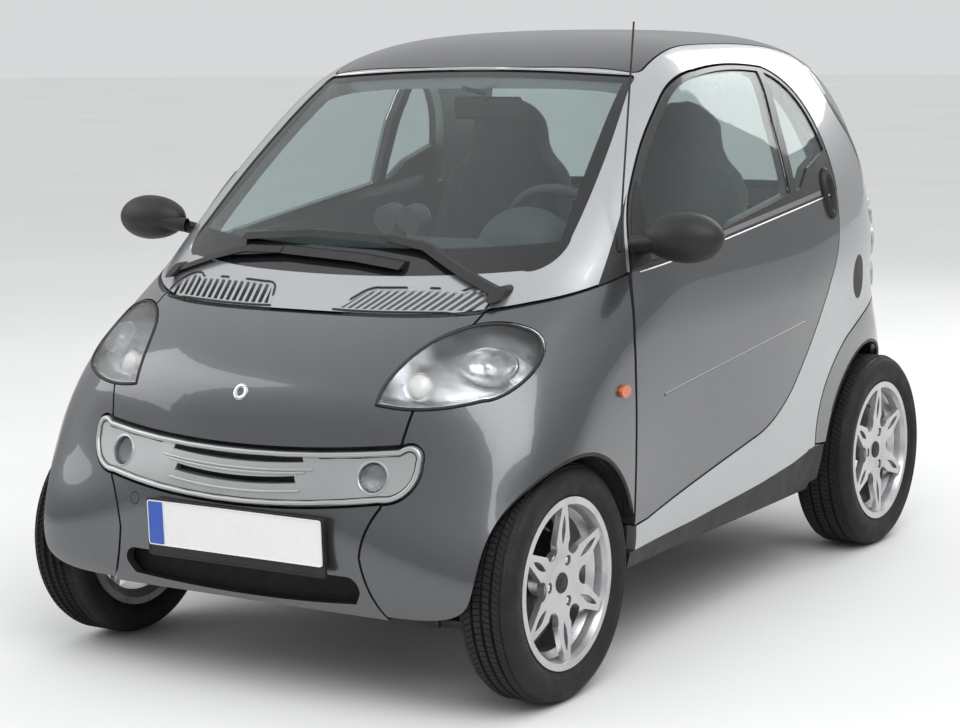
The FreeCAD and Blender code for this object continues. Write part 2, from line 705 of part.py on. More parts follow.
def carriers():
    shell = skin_between(PANEL_T + SEAT_GAP, PANEL_T + CARRIER_T)
    edge = HALF_GAP - SEAT_GAP
    zone = cross_prism(NOSE, edge)
    top_band = zone.cut(cross_prism(NOSE, -CARRIER_W)).common(box(-600, 600, -FAR, -600, 860, 1000))
    bands = [ring(front_prism, HOOD), ring(front_prism, INSERT), ring(front_prism, BUMPER)]
    frame = fuse_all([b.common(zone) for b in bands] + [top_band]).common(shell)
    posts = box(590, 800, -650, -500, 200, 1100)
    low = box(-FAR, FAR, -FAR, FAR, 0, LOW_EDGE + 6)
    tools = [front_prism(INTAKE), low] + pair(front_prism(LAMP, SEAT_GAP)) + pair(posts)
    frame = cut_all(frame, tools + wells(LINER_T * 2 + 0.6, LINER_T + SEAT_GAP))
    frame = cut_all(frame, [fog_hole(FOG_X), fog_hole(-FOG_X)])
    tail_zone = cross_prism(FENDER, edge)
    tail_bands = [rear_prism(TAIL, CARRIER_W, REAR_START).cut(rear_prism(TAIL, -CARRIER_W, REAR_START)),
                  cross_prism(FENDER, edge).cut(cross_prism(FENDER, -CARRIER_W))]
    tail = fuse_all([b.common(tail_zone) for b in tail_bands]).common(shell)
    tail = cut_all(tail, [low, rear_prism(FLAP, HALF_GAP, REAR_START)]
                   + wells(LINER_T * 2 + 0.6, LINER_T + SEAT_GAP))
    return frame, tail


def fog_hole(x):
    return Part.makeCylinder(FOG_R + SEAT_GAP, FAR, V(fx(x), -FAR, FOG_Z), Y)


save("panel_carriers", list(carriers()))


# Wheel liners
def liner(y, gap, inner_x, door_half, door_top):
    spare = LINER_T
    outer = well(y, gap, inner_x, spare + LINER_T)
    shell = outer.cut(well(y, gap, inner_x, spare))
    disc = Part.makeCylinder(TYRE_R + gap + spare + LINER_T, LINER_T, V(inner_x - LINER_T, y, TYRE_R), X)
    disc = disc.cut(box(0, FAR, y - door_half, y + door_half, 0, door_top))
    whole = fuse_all([shell, disc]).common(body_skin(PANEL_T + LIP_GAP))
    door_zone = left_prism(DOOR, HALF_GAP).cut(body_skin(DOOR_T + SHUT_GAP))
    return cut_all(whole, [LOW_CUT, door_zone])


front_liner = liner(FRONT_Y, ARCH_GAP_FRONT, WELL_INNER_X, 150, 440)
rear_liner = liner(REAR_Y - REAR_ARCH_AHEAD, ARCH_GAP_REAR, WELL_INNER_X_REAR, 110, 420)
save("wheel_liners", pair(front_liner) + pair(rear_liner))

# Floor with its firewall and its rear deck
FLOOR_Z = 270.0
FLOOR_T = 34.0
FLOOR_LINE = [(-600, 874), (-640, 620), (-545, FLOOR_Z), (540, FLOOR_Z), (540, 647), (1185, 647)]
floor_top = FLOOR_Z + FLOOR_T / 2
BEHIND_POST = body_skin(POST_DEPTH + SEAT_GAP)
post_zone = box(-FAR, FAR, -FAR, -520, 0, FAR).cut(BEHIND_POST)
pan = cross_prism(band(side_point, FLOOR_LINE, FLOOR_T)).common(BEHIND_WALL).cut(post_zone)
pan = cut_all(pan, wells(LINER_T * 2 + 1.0, LINER_T + 1.0))
save("floor_pan", pan)

# Front subframe: rails, cross member, wishbones and the kingpins they carry
RAIL_X = (330.0, 384.0)
RAIL_Z = (250.0, 330.0)
ARM_Z = (148.0, 166.0)
TOP_ARM_Z = (404.0, 420.0)
PIN_BITE = 20.0


def front_subframe():
    left = [box(RAIL_X[0], RAIL_X[1], -1105, -598, *RAIL_Z)]
    left += [box(RAIL_X[0], RAIL_X[1], FRONT_Y - 54, FRONT_Y + 56, ARM_Z[0], RAIL_Z[0] + 5)]
    plan = outline(top_point, (332, FRONT_Y - 54), (560, FRONT_Y - 18), (KINGPIN_X + 22, FRONT_Y - 16),
                   (KINGPIN_X + 22, FRONT_Y + 16), (560, FRONT_Y + 18), (332, FRONT_Y + 56))
    left += [prism(plan, 0, ARM_Z[0], ARM_Z[1] - ARM_Z[0], Z)]
    left += [box(RAIL_X[0] + 10, RAIL_X[1], FRONT_Y - 28, FRONT_Y + 28, RAIL_Z[1] - 5, TOP_ARM_Z[1])]
    left += [box(RAIL_X[1] - 5, KINGPIN_X + 22, FRONT_Y - 24, FRONT_Y + 24, *TOP_ARM_Z)]
    left += [rod(V(KINGPIN_X, FRONT_Y, ARM_Z[0]), V(KINGPIN_X, FRONT_Y, ARM_Z[1] + PIN_BITE + 1), KINGPIN_R)]
    left += [rod(V(KINGPIN_X, FRONT_Y, TOP_ARM_Z[0] - PIN_BITE - 1), V(KINGPIN_X, FRONT_Y, TOP_ARM_Z[1]),
                 KINGPIN_R)]
    cross = box(-RAIL_X[0] - 10, RAIL_X[0] + 10, FRONT_Y - 45, FRONT_Y + 45, RAIL_Z[0], RAIL_Z[1] - 20)
    beam = box(-388, 388, -1150, -1104, 290, 370).common(body_skin(PANEL_T + CARRIER_T + LIP_GAP))
    both = [s for part in left for s in pair(part)]
    return fuse_all(both + [cross, beam])


STRUT_X = 515.0
strut_top = TYRE_R + TYRE_R + ARCH_GAP_FRONT + LINER_T - 1.2
strut = rod(V(STRUT_X, FRONT_Y, TOP_ARM_Z[1] + SEAT_GAP), V(STRUT_X, FRONT_Y, strut_top), 22)
save("front_subframe", [front_subframe()] + pair(strut))


# Knuckle: upright on the kingpin, spindle for the hub, steering arm
SPINDLE_END = 38.0


def knuckle():
    low = ARM_Z[1] + 1
    high = TOP_ARM_Z[0] - 1
    upright = box(KINGPIN_X - 18, KINGPIN_X + 18, FRONT_Y - 18, FRONT_Y + 18, low, high)
    flange = rod(V(KINGPIN_X, FRONT_Y, TYRE_R), V(KINGPIN_X + 32, FRONT_Y, TYRE_R), 45)
    spindle = rod(V(KINGPIN_X, FRONT_Y, TYRE_R),
                  V(WHEEL_FACE_FRONT - SPINDLE_END, FRONT_Y, TYRE_R), HUB_PIN_R)
    steering_arm = box(KINGPIN_X - 16, KINGPIN_X + 8, FRONT_Y, FRONT_Y + 112, 224, 244)
    whole = fuse_all([upright, flange, spindle, steering_arm])
    bore = KINGPIN_R + FIT_GAP
    for z0, z1 in ((low - 1, ARM_Z[1] + PIN_BITE + 3), (TOP_ARM_Z[0] - PIN_BITE - 3, high + 1)):
        whole = whole.cut(rod(V(KINGPIN_X, FRONT_Y, z0), V(KINGPIN_X, FRONT_Y, z1), bore))
    return whole


left_knuckle = knuckle()
save("knuckle_left", left_knuckle)
save("knuckle_right", mirrored(left_knuckle))


# Rear axle with its spindles and trailing arms
def rear_axle():
    inner = WHEEL_FACE_REAR - 106
    tube = rod(V(-inner, REAR_Y, TYRE_R), V(inner, REAR_Y, TYRE_R), 30)
    pin = rod(V(-WHEEL_FACE_REAR + SPINDLE_END, REAR_Y, TYRE_R),
              V(WHEEL_FACE_REAR - SPINDLE_END, REAR_Y, TYRE_R), HUB_PIN_R)
    flange = rod(V(inner - 14, REAR_Y, TYRE_R), V(inner, REAR_Y, TYRE_R), 45)
    arm = box(450, 500, 540 + FLOOR_T / 2 + SEAT_GAP, REAR_Y, TYRE_R + 6, TYRE_R + 56)
    return fuse_all([tube, pin] + pair(flange) + pair(arm))


save("rear_axle", rear_axle())

# Engine block ahead of the axle and the silencer behind it
ENGINE = box(-300, 300, 540 + FLOOR_T / 2 + SEAT_GAP, 840, 262, 600)
save("engine_block", ENGINE)


def silencer():
    can = rod(V(-230, 1085, 330), V(230, 1085, 330), 78)
    pipe = rod(V(150, 840 + SEAT_GAP, 350), V(150, 1080, 350), 22)
    tail = rod(V(-160, 1090, 300), V(-160, 1152, 236), 24)
    return fuse_all([can, pipe, tail])


save("silencer", silencer())

# Seats: centre x, shift in y
SEATS = [("left", 310.0, -110.0), ("right", -330.0, 0.0)]
SEAT_W = 470.0
CUSHION = outline(side_point, (-90, 600), (-112, 560, -95, 510), (-60, 465.3), (357.2, 465.3),
                  (388.4, 597), (200, 588), (60, 600, -40, 626), (-75, 622, -90, 600))
BACK = outline(side_point, (361, 480), (520, 1150), (545, 1310), (570, 1352, 610, 1340),
               (650, 1150), (508, 640), (470, 480))


def seat_front(x, z):
    return V(x, 0, z)


BACK_FRONT = outline(seat_front, (-225, 440), (-238, 800, -215, 1020), (-190, 1130, -135, 1180),
                     (-128, 1240, -122, 1290), (0, 1360, 122, 1290), (128, 1240, 135, 1180),
                     (190, 1130, 215, 1020), (238, 800, 225, 440))
bases = []
for side, x, shift in SEATS:
    cushion = prism(CUSHION, 0, -SEAT_W / 2, SEAT_W, X)
    back = prism(BACK, 0, -300, 600, X).common(prism(BACK_FRONT, 0, 0, 900, Y))
    base = box(-190, 190, 0, 340, floor_top + SEAT_GAP, 465)
    save("seat_cushion_" + side, moved(cushion, x, shift, 0))
    save("seat_back_" + side, moved(back, x, shift, 0))
    bases.append(moved(base, x, shift, 0))
save("seat_bases", bases)

# Dashboard with its instrument hood and two pods
DASH = outline(side_point, (-900, 880), (-900, 930), (-760, 952), (-640, 990, -560, 1022),
               (-480, 1036, -430, 1016), (-372, 960, -350, 900), (-330, 800), (-380, 690),
               (-480, 660), (-560, 660), (-560, 880))
COLUMN_TILT = math.radians(28)
WHEEL_AT = V(345, -215, 1000)
WHEEL_R = 185.0
GRIP_R = 14.0
SHAFT_R = 14.0
AXIS = V(0, math.cos(COLUMN_TILT), math.sin(COLUMN_TILT))


def dashboard():
    main = cross_prism(DASH).common(BEHIND_POST)
    hood = spheroid(V(WHEEL_AT.x, -430, 1000), 132, 117)
    shroud = rod(WHEEL_AT - AXIS * 230, WHEEL_AT - AXIS * 72, 36)
    pods = [rod(V(x, -495, 1020), V(x, -488, 1074), 17) for x in (-34, 40)]
    caps = [rod(V(x, -512, 1080), V(x, -462, 1086), 35) for x in (-34, 40)]
    whole = fuse_all([main, hood, shroud] + pods + caps)
    return whole.cut(rod(WHEEL_AT - AXIS * 216, WHEEL_AT, SHAFT_R + FIT_GAP))


save("dashboard", dashboard())


def steering_wheel():
    rim = Part.makeTorus(WHEEL_R - GRIP_R, GRIP_R, WHEEL_AT, AXIS)
    hub = rod(WHEEL_AT - AXIS * 40, WHEEL_AT + AXIS * 6, 62)
    shaft = rod(WHEEL_AT - AXIS * 213, WHEEL_AT - AXIS * 30, SHAFT_R)
    across = V(0, -math.sin(COLUMN_TILT), math.cos(COLUMN_TILT))
    spokes = []
    for angle in (0, 180, 250, 290):
        a = math.radians(angle)
        end = WHEEL_AT + (X * math.cos(a) + across * math.sin(a)) * (WHEEL_R - GRIP_R)
        spokes.append(rod(WHEEL_AT - AXIS * 14, end, 11))
    return fuse_all([rim, hub, shaft] + spokes)


save("steering_wheel", steering_wheel())

# Wheels. A profile is drawn as distance in from the wheel's face, then radius.
HUB_R = 38.0
HUB_BACK = 100.0
BORE_END = 36.0
SPOKE_T = 17.0


def turned(rows, width, face_x, y):
    """Solid turned about the axle from a closed profile of lines and arcs."""
    def place(depth, r):
        return V(face_x - depth, y, TYRE_R + r)
    wire = outline(place, *rows)
    return Part.Face(wire).revolve(V(face_x, y, TYRE_R), X, 360)


def rim_profile(w):
    lip = RIM_LIP_R
    seat = RIM_SEAT_R
    return [(12, lip), (12, lip - 17), (26, lip - 22), (44, lip - 26), (62, 166), (w - 24, 166),
            (w - 12, lip - 18), (w - 12, lip), (w - 18, lip), (w - 18, seat), (w - 34, seat - 2),
            (w - 46, 172), (66, 172), (46, seat - 2), (18, seat), (18, lip)]


def tyre_profile(w):
    r = TYRE_R
    bead = RIM_SEAT_R + SEAT_GAP
    a = 18 + SEAT_GAP
    return [(a, bead), (a, bead + 15), (4, bead + 34, 0, 245), (3, 262, 9, 271), (16, 280, 27, 283),
            (w / 2, r, w - 27, 283), (w - 16, 280, w - 9, 271), (w - 3, 262, w, 245),
            (w - 4, bead + 34, w - a, bead + 15), (w - a, bead), (w - a - 12, bead),
            (w - a - 12, bead + 16), (w - 14, 245), (w - 26, 266), (26, 266), (14, 245),
            (a + 12, bead + 16), (a + 12, bead)]


def star(face_x, y):
    """Spokes as a star with hollowed sides between hub and rim."""
    points = []
    for i in range(SPOKES):
        tip = math.radians(90 + i * 360.0 / SPOKES)
        valley = tip + math.pi / SPOKES
        side = math.radians(3.6)
        points.append([(RIM_LIP_R - 18, tip - side), (RIM_LIP_R - 18, tip + side),
                       (104, tip + 0.30), (74, valley), (104, valley + math.pi / SPOKES - 0.30)])

    def at(r, angle):
        return V(0, y + r * math.cos(angle), TYRE_R + r * math.sin(angle))
    edges = []
    for i, (a, b, c, d, e) in enumerate(points):
        nxt = points[(i + 1) % SPOKES][0]
        edges.append(Part.makeLine(at(*a), at(*b)))
        edges.append(Part.makeLine(at(*b), at(*c)))
        edges.append(Part.Arc(at(*c), at(*d), at(*e)).toShape())
        edges.append(Part.makeLine(at(*e), at(*nxt)))
    face = Part.Face(Part.Wire(edges))
    face.translate(V(face_x - HUB_BACK, 0, 0))
    return face.extrude(X * HUB_BACK)


def rim(w, face_x, y):
    barrel = turned(rim_profile(w), w, face_x, y)
    dish = turned([(30, 0), (30, 46), (24, 100, 17, RIM_LIP_R - 16), (17 + SPOKE_T, RIM_LIP_R - 16),
                   (24 + SPOKE_T, 100, 34 + SPOKE_T, 46), (34 + SPOKE_T, 0)], w, face_x, y)
    disc = dish.common(star(face_x, y))
    hub = rod(V(face_x - HUB_BACK, y, TYRE_R), V(face_x - 32, y, TYRE_R), HUB_R)
    plate = rod(V(face_x - 50, y, TYRE_R), V(face_x - 31, y, TYRE_R), 78)
    whole = fuse_all([barrel, disc, hub, plate])
    for i in range(SPOKES):
        a = math.radians(90 + i * 360.0 / SPOKES)
        along = V(0, math.cos(a), math.sin(a))
        across = V(0, -math.sin(a), math.cos(a))
        base = V(face_x - HUB_BACK, y, TYRE_R)
        tips = [base + along * 92, base + along * 126 + across * 8, base + along * 164,
                base + along * 126 - across * 8]
        loop = [Part.Arc(tips[0], tips[1], tips[2]).toShape(), Part.Arc(tips[2], tips[3], tips[0]).toShape()]
        whole = whole.cut(Part.Face(Part.Wire(loop)).extrude(X * HUB_BACK))
    for i in range(BOLTS):
        a = math.radians(60 + i * 360.0 / BOLTS)
        at = V(face_x - 44, y + BOLT_CIRCLE_R * math.cos(a), TYRE_R + BOLT_CIRCLE_R * math.sin(a))
        whole = whole.cut(Part.makeCylinder(13, HUB_BACK, at, X))
    bore = Part.makeCylinder(HUB_PIN_R + FIT_GAP, HUB_BACK - BORE_END, V(face_x - HUB_BACK, y, TYRE_R), X)
    return whole.cut(bore)


WHEELS = [("front", TYRE_W_FRONT, WHEEL_FACE_FRONT, FRONT_Y),
          ("rear", TYRE_W_REAR, WHEEL_FACE_REAR, REAR_Y)]
for place, w, face_x, y in WHEELS:
    left_rim = rim(w, face_x, y)
    left_tyre = turned(tyre_profile(w), w, face_x, y)
    for side, turn in (("left", lambda s: s), ("right", mirrored)):
        save("rim_" + place + "_" + side, turn(left_rim))
        save("tyre_" + place + "_" + side, turn(left_tyre))
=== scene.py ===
import math

import bmesh
import bpy
from mathutils import Matrix, Vector
from mathutils.bvhtree import BVHTree


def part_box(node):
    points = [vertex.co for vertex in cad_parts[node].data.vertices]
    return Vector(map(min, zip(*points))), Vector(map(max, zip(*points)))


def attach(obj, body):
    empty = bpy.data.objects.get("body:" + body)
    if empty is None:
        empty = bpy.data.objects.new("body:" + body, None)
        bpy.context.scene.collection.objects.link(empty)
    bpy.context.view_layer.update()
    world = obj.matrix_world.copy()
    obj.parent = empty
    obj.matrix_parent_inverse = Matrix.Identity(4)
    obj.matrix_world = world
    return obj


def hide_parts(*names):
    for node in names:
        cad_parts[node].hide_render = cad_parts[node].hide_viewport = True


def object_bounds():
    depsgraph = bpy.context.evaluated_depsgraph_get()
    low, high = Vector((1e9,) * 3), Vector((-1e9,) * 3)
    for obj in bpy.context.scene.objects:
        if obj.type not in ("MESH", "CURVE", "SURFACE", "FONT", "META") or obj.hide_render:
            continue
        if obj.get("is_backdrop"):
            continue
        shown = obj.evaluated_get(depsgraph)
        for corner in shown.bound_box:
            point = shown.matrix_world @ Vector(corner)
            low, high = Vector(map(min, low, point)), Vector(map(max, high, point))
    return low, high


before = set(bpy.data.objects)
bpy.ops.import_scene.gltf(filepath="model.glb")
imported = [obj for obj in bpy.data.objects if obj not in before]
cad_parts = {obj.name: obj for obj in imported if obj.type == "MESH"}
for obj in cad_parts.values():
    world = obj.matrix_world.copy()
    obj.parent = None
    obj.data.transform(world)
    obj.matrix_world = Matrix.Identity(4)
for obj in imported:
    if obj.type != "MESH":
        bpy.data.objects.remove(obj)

scene = bpy.context.scene
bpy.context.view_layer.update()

# Size of the photograph in pixels, and the camera fitted to it: its axes, its place and its focal length,
# which is in pixels too
PHOTO_WIDTH = 960
PHOTO_HEIGHT = 728
RIGHT = Vector((0.841366, 0.539967, -0.023209))
UP = Vector((-0.06419, 0.142473, 0.987715))
FORWARD = Vector((-0.53664, 0.82954, -0.154533))
EYE = Vector((3.384327, -5.358444, 1.624154))
FOCAL = 2292.1
SENSOR_WIDTH = 36


def place_camera():
    data = bpy.data.cameras.new("camera")
    data.sensor_width = SENSOR_WIDTH
    data.lens = FOCAL * SENSOR_WIDTH / PHOTO_WIDTH
    data.clip_end = 200
    camera = bpy.data.objects.new("camera", data)
    turn = Matrix((RIGHT, UP, -FORWARD)).transposed().to_4x4()
    camera.matrix_world = Matrix.Translation(EYE) @ turn
    scene.collection.objects.link(camera)
    scene.camera = camera


place_camera()

# Surfaces of the frame, for pieces that lie on them
TREES = {}
FAR = 3.0


def tree(name):
    if name not in TREES:
        depsgraph = bpy.context.evaluated_depsgraph_get()
        TREES[name] = BVHTree.FromObject(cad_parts[name], depsgraph)
    return TREES[name]


def cast(names, start, direction):
    """Nearest point, its normal and its distance on the named nodes along a ray."""
    aim = Vector(direction)
    best = None
    for name in names:
        point, normal, _, distance = tree(name).ray_cast(Vector(start), aim.normalized())
        if point and (best is None or distance < best[2]):
            best = (point, normal if normal.dot(aim) < 0 else -normal, distance)
    return best


def from_front(names, x, z):
    return cast(names, (x, -FAR, z), (0, 1, 0))


def from_behind(names, x, z):
    return cast(names, (x, FAR, z), (0, -1, 0))


def from_left(names, y, z):
    return cast(names, (FAR, y, z), (-1, 0, 0))


def from_above(names, x, y):
    return cast(names, (x, y, FAR), (0, 0, -1))


def as_photographed(names, px, py):
    """What the named nodes show at a pixel of the photograph."""
    aim = FORWARD * FOCAL + RIGHT * (px - PHOTO_WIDTH / 2) - UP * (py - PHOTO_HEIGHT / 2)
    return cast(names, EYE, aim)


def run_on(look, names, places, lift):
    """Points on the named nodes, raised by lift; a place where nothing is hit is left out."""
    hits = [look(names, *place) for place in places]
    return [hit[0] + hit[1] * lift for hit in hits if hit]


def spaced(start, end, count):
    """Numbers from start to end in count even steps."""
    return [start + (end - start) * i / count for i in range(count + 1)]


# Finishes
FLAKE_SCALE = 1400
DUST_SCALE = 14
COAT_ROUGHNESS = 0.03
SHEEN_ROUGHNESS = 0.4


def new_material(name):
    material = bpy.data.materials.new(name)
    material.use_nodes = True
    nodes = material.node_tree.nodes
    shader = nodes["Principled BSDF"]
    coord = nodes.new("ShaderNodeTexCoord").outputs["Object"]
    return material, nodes, material.node_tree.links, shader, coord


def noise(nodes, links, coord, scale, detail=5.0, roughness=0.55):
    node = nodes.new("ShaderNodeTexNoise")
    node.inputs["Scale"].default_value = scale
    node.inputs["Detail"].default_value = detail
    node.inputs["Roughness"].default_value = roughness
    links.new(coord, node.inputs["Vector"])
    return node.outputs["Fac"]


def spread(nodes, links, value, low, high, start=0.3, end=0.7):
    """A value between start and end brought to between low and high."""
    node = nodes.new("ShaderNodeMapRange")
    links.new(value, node.inputs["Value"])
    for key, number in (("From Min", start), ("From Max", end), ("To Min", low), ("To Max", high)):
        node.inputs[key].default_value = number
    return node.outputs["Result"]


def arithmetic(nodes, links, kind, a, b=0.0):
    node = nodes.new("ShaderNodeMath")
    node.operation = kind
    for socket, value in zip(node.inputs, (a, b)):
        if isinstance(value, bpy.types.NodeSocket):
            links.new(value, socket)
        else:
            socket.default_value = value
    return node.outputs[0]


def mix_colour(nodes, links, factor, a, b):
    node = nodes.new("ShaderNodeMix")
    node.data_type = "RGBA"
    links.new(factor, node.inputs[0])
    for socket, colour in ((node.inputs[6], a), (node.inputs[7], b)):
        if isinstance(colour, bpy.types.NodeSocket):
            links.new(colour, socket)
        else:
            socket.default_value = (*colour, 1)
    return node.outputs[2]


def finish(name, colour, rough, metal=0.0, coat=0.0, vary=0.12, size=5.0, rough_vary=0.05,
           bump=(300.0, 0.0002), strength=0.3, dust=None, flakes=0.0, spec=0.5, sheen=0.0):
    """A finish with uneven colour, uneven roughness and a fine grain."""
    material, nodes, links, shader, coord = new_material(name)
    light = [min(1.0, c * (1 + vary)) for c in colour]
    dark = [c * (1 - vary) for c in colour]
    factor = spread(nodes, links, noise(nodes, links, coord, size), 0, 1)
    tint = mix_colour(nodes, links, factor, dark, light)
    if flakes:
        cells = nodes.new("ShaderNodeTexVoronoi")
        cells.inputs["Scale"].default_value = FLAKE_SCALE
        links.new(coord, cells.inputs["Vector"])
        part = spread(nodes, links, cells.outputs["Color"], 0, 1, 0.45, 1.0)
        tint = mix_colour(nodes, links, part, tint, [min(1, c * (1 + flakes)) for c in colour])
    if dust:
        cloud = noise(nodes, links, coord, DUST_SCALE, 8, 0.65)
        part = spread(nodes, links, cloud, 0, dust[1], 0.5, 0.8)
        tint = mix_colour(nodes, links, part, tint, dust[0])
    links.new(tint, shader.inputs["Base Color"])
    uneven = noise(nodes, links, coord, size * 3)
    roughness = spread(nodes, links, uneven, rough - rough_vary, rough + rough_vary)
    links.new(roughness, shader.inputs["Roughness"])
    grain = nodes.new("ShaderNodeBump")
    grain.inputs["Strength"].default_value = strength
    grain.inputs["Distance"].default_value = bump[1]
    links.new(noise(nodes, links, coord, bump[0], 3), grain.inputs["Height"])
    links.new(grain.outputs["Normal"], shader.inputs["Normal"])
    shader.inputs["Metallic"].default_value = metal
    shader.inputs["Coat Weight"].default_value = coat
    shader.inputs["Coat Roughness"].default_value = COAT_ROUGHNESS
    shader.inputs["Specular IOR Level"].default_value = spec
    if sheen:
        shader.inputs["Sheen Weight"].default_value = sheen
        shader.inputs["Sheen Roughness"].default_value = SHEEN_ROUGHNESS
    return material


def laid_over(material, part, surface):
    """Shows another surface in place of the material's own where part is 1."""
    nodes, links = material.node_tree.nodes, material.node_tree.links
    out = next(n for n in nodes if n.type == "OUTPUT_MATERIAL")
    shown = out.inputs["Surface"].links[0].from_socket
    mix = nodes.new("ShaderNodeMixShader")
    links.new(part, mix.inputs[0])
    links.new(shown, mix.inputs[1])
    links.new(surface, mix.inputs[2])
    links.new(mix.outputs[0], out.inputs["Surface"])


def plain_surface(nodes, colour, rough):
    ink = nodes.new("ShaderNodeBsdfPrincipled")
    ink.inputs["Base Color"].default_value = (*colour, 1)
    ink.inputs["Roughness"].default_value = rough
    return ink.outputs[0]


def place_outputs(nodes, links):
    """Outputs for the x, y and z of a place on the piece."""
    coord = next(n for n in nodes if n.type == "TEX_COORD").outputs["Object"]
    parts = nodes.new("ShaderNodeSeparateXYZ")
    links.new(coord, parts.inputs[0])
    return parts.outputs


def glass(name, colour, rough=0.0, ribs=None, ior=1.45):
    """Glass that lets the lamps through; ribs are scale and depth of a wave across x."""
    material, nodes, links, shader, coord = new_material(name)
    shader.inputs["Transmission Weight"].default_value = 1.0
    shader.inputs["IOR"].default_value = ior
    tone = spread(nodes, links, noise(nodes, links, coord, 4), 0, 1)
    tint = mix_colour(nodes, links, tone, [c * 0.97 for c in colour], colour)
    links.new(tint, shader.inputs["Base Color"])
    film = spread(nodes, links, noise(nodes, links, coord, 9), rough, rough + 0.02)
    links.new(film, shader.inputs["Roughness"])
    if ribs:
        wave = nodes.new("ShaderNodeTexWave")
        wave.bands_direction = "X"
        wave.inputs["Scale"].default_value = ribs[0]
        wave.inputs["Distortion"].default_value = 0.4
        links.new(coord, wave.inputs["Vector"])
        relief = nodes.new("ShaderNodeBump")
        relief.inputs["Distance"].default_value = ribs[1]
        links.new(wave.outputs["Fac"], relief.inputs["Height"])
        links.new(relief.outputs["Normal"], shader.inputs["Normal"])
    clear = nodes.new("ShaderNodeBsdfTransparent")
    clear.inputs["Color"].default_value = (*[c * 0.92 for c in colour], 1)
    path = nodes.new("ShaderNodeLightPath")
    laid_over(material, path.outputs["Is Shadow Ray"], clear.outputs[0])
    return material


# The sill runs on behind the skirt from this y, below this z
SILL_END_Y = 0.463
SILL_END_TOP = 0.367
SILL_END_BLEND = 0.001


def sill_end_black(material):
    """Black plastic look on the end of the sill behind the skirt."""
    copy = material.copy()
    copy.name = "silver_with_black_sill_end"
    nodes, links = copy.node_tree.nodes, copy.node_tree.links
    _, y, z = place_outputs(nodes, links)
    behind = spread(nodes, links, y, 0, 1, SILL_END_Y - SILL_END_BLEND, SILL_END_Y + SILL_END_BLEND)
    under = spread(nodes, links, z, 1, 0, SILL_END_TOP - SILL_END_BLEND, SILL_END_TOP + SILL_END_BLEND)
    part = arithmetic(nodes, links, "MULTIPLY", behind, under)
    laid_over(copy, part, plain_surface(nodes, (0.013, 0.013, 0.0135), 0.5))
    return copy


# Windscreen: half its width at SIDE_Z and its loss of width with height, its foot and top in the middle
# with their curves over x squared, and the widths of the black border
SIDE_X = 0.571
SIDE_Z = 1.066
SIDE_SLOPE = 0.2225
SIDE_BORDER = 0.024
FOOT_Z = 0.972
FOOT_CURVE = 0.0823
FOOT_BORDER = 0.056
TOP_Z = 1.454
TOP_CURVE = 0.0776
TOP_BORDER = 0.02


def screen_glass(tint):
    """Windscreen with a black border printed along its edge."""
    material = glass("screen_glass", tint)
    nodes, links = material.node_tree.nodes, material.node_tree.links
    x, _, z = place_outputs(nodes, links)

    def m(kind, a, b=0.0):
        return arithmetic(nodes, links, kind, a, b)
    edge = m("SUBTRACT", SIDE_X, m("MULTIPLY", m("SUBTRACT", z, SIDE_Z), SIDE_SLOPE))
    side = m("DIVIDE", m("SUBTRACT", edge, m("ABSOLUTE", x)), SIDE_BORDER)
    square = m("MULTIPLY", x, x)
    over_foot = m("SUBTRACT", m("SUBTRACT", z, FOOT_Z), m("MULTIPLY", square, FOOT_CURVE))
    under_top = m("SUBTRACT", m("SUBTRACT", TOP_Z, m("MULTIPLY", square, TOP_CURVE)), z)
    ends = m("MINIMUM", m("DIVIDE", over_foot, FOOT_BORDER), m("DIVIDE", under_top, TOP_BORDER))
    black = spread(nodes, links, m("MINIMUM", side, ends), 1, 0, 0.97, 1.03)
    laid_over(material, black, plain_surface(nodes, (0.012, 0.012, 0.013), 0.12))
    return material


# Each finish: name, colour, roughness, metal, coat, variation of colour, size of its clouds, variation of
# roughness, grain (scale, depth), strength of the grain, dust (colour, share), flakes, gloss, sheen
GRIME = ((0.24, 0.22, 0.19), 0.25)
TINT = (0.68, 0.76, 0.745)
DARK_PAINT = finish("dark_metallic_paint", (0.082, 0.086, 0.092), 0.3, 0.7, 1.0, 0.05, 2.0, 0.03,
                    (900, 0.00003), 0.25, None, 0.5)
SILVER_PAINT = finish("silver_metallic_paint", (0.40, 0.41, 0.42), 0.3, 0.7, 1.0, 0.04, 2.0, 0.03,
                      (900, 0.00003), 0.25, None, 0.25)
ROOF_GLOSS = finish("roof_gloss", (0.014, 0.014, 0.015), 0.12, 0.0, 0.6, 0.1, 2.0, 0.02,
                    (40, 0.00005), 0.2)
FRAME_GLOSS = finish("frame_gloss", (0.012, 0.012, 0.013), 0.22, 0.0, 0.5, 0.15, 8.0, 0.05,
                     (400, 0.0001), 0.3)
PLASTIC = finish("grained_plastic", (0.013, 0.013, 0.0135), 0.5, 0.0, 0.0, 0.2, 7.0, 0.06,
                 (1100, 0.0004), 0.5, ((0.12, 0.115, 0.11), 0.06), 0, 0.4)
LINER = finish("liner_plastic", (0.015, 0.015, 0.015), 0.8, 0.0, 0.0, 0.25, 9.0, 0.08,
               (350, 0.0008), 0.6, GRIME)
SATIN_SILVER = finish("satin_silver", (0.44, 0.45, 0.45), 0.34, 0.75, 0.3, 0.05, 4.0, 0.04,
                      (1200, 0.00004), 0.3)
BRIGHT = finish("bright_trim", (0.75, 0.76, 0.77), 0.14, 1.0, 0.0, 0.04, 12.0, 0.04,
                (300, 0.00003), 0.2)
REFLECTOR = finish("reflector", (0.50, 0.51, 0.52), 0.16, 0.95, 0.0, 0.4, 22.0, 0.06,
                   (45, 0.0012), 0.5)
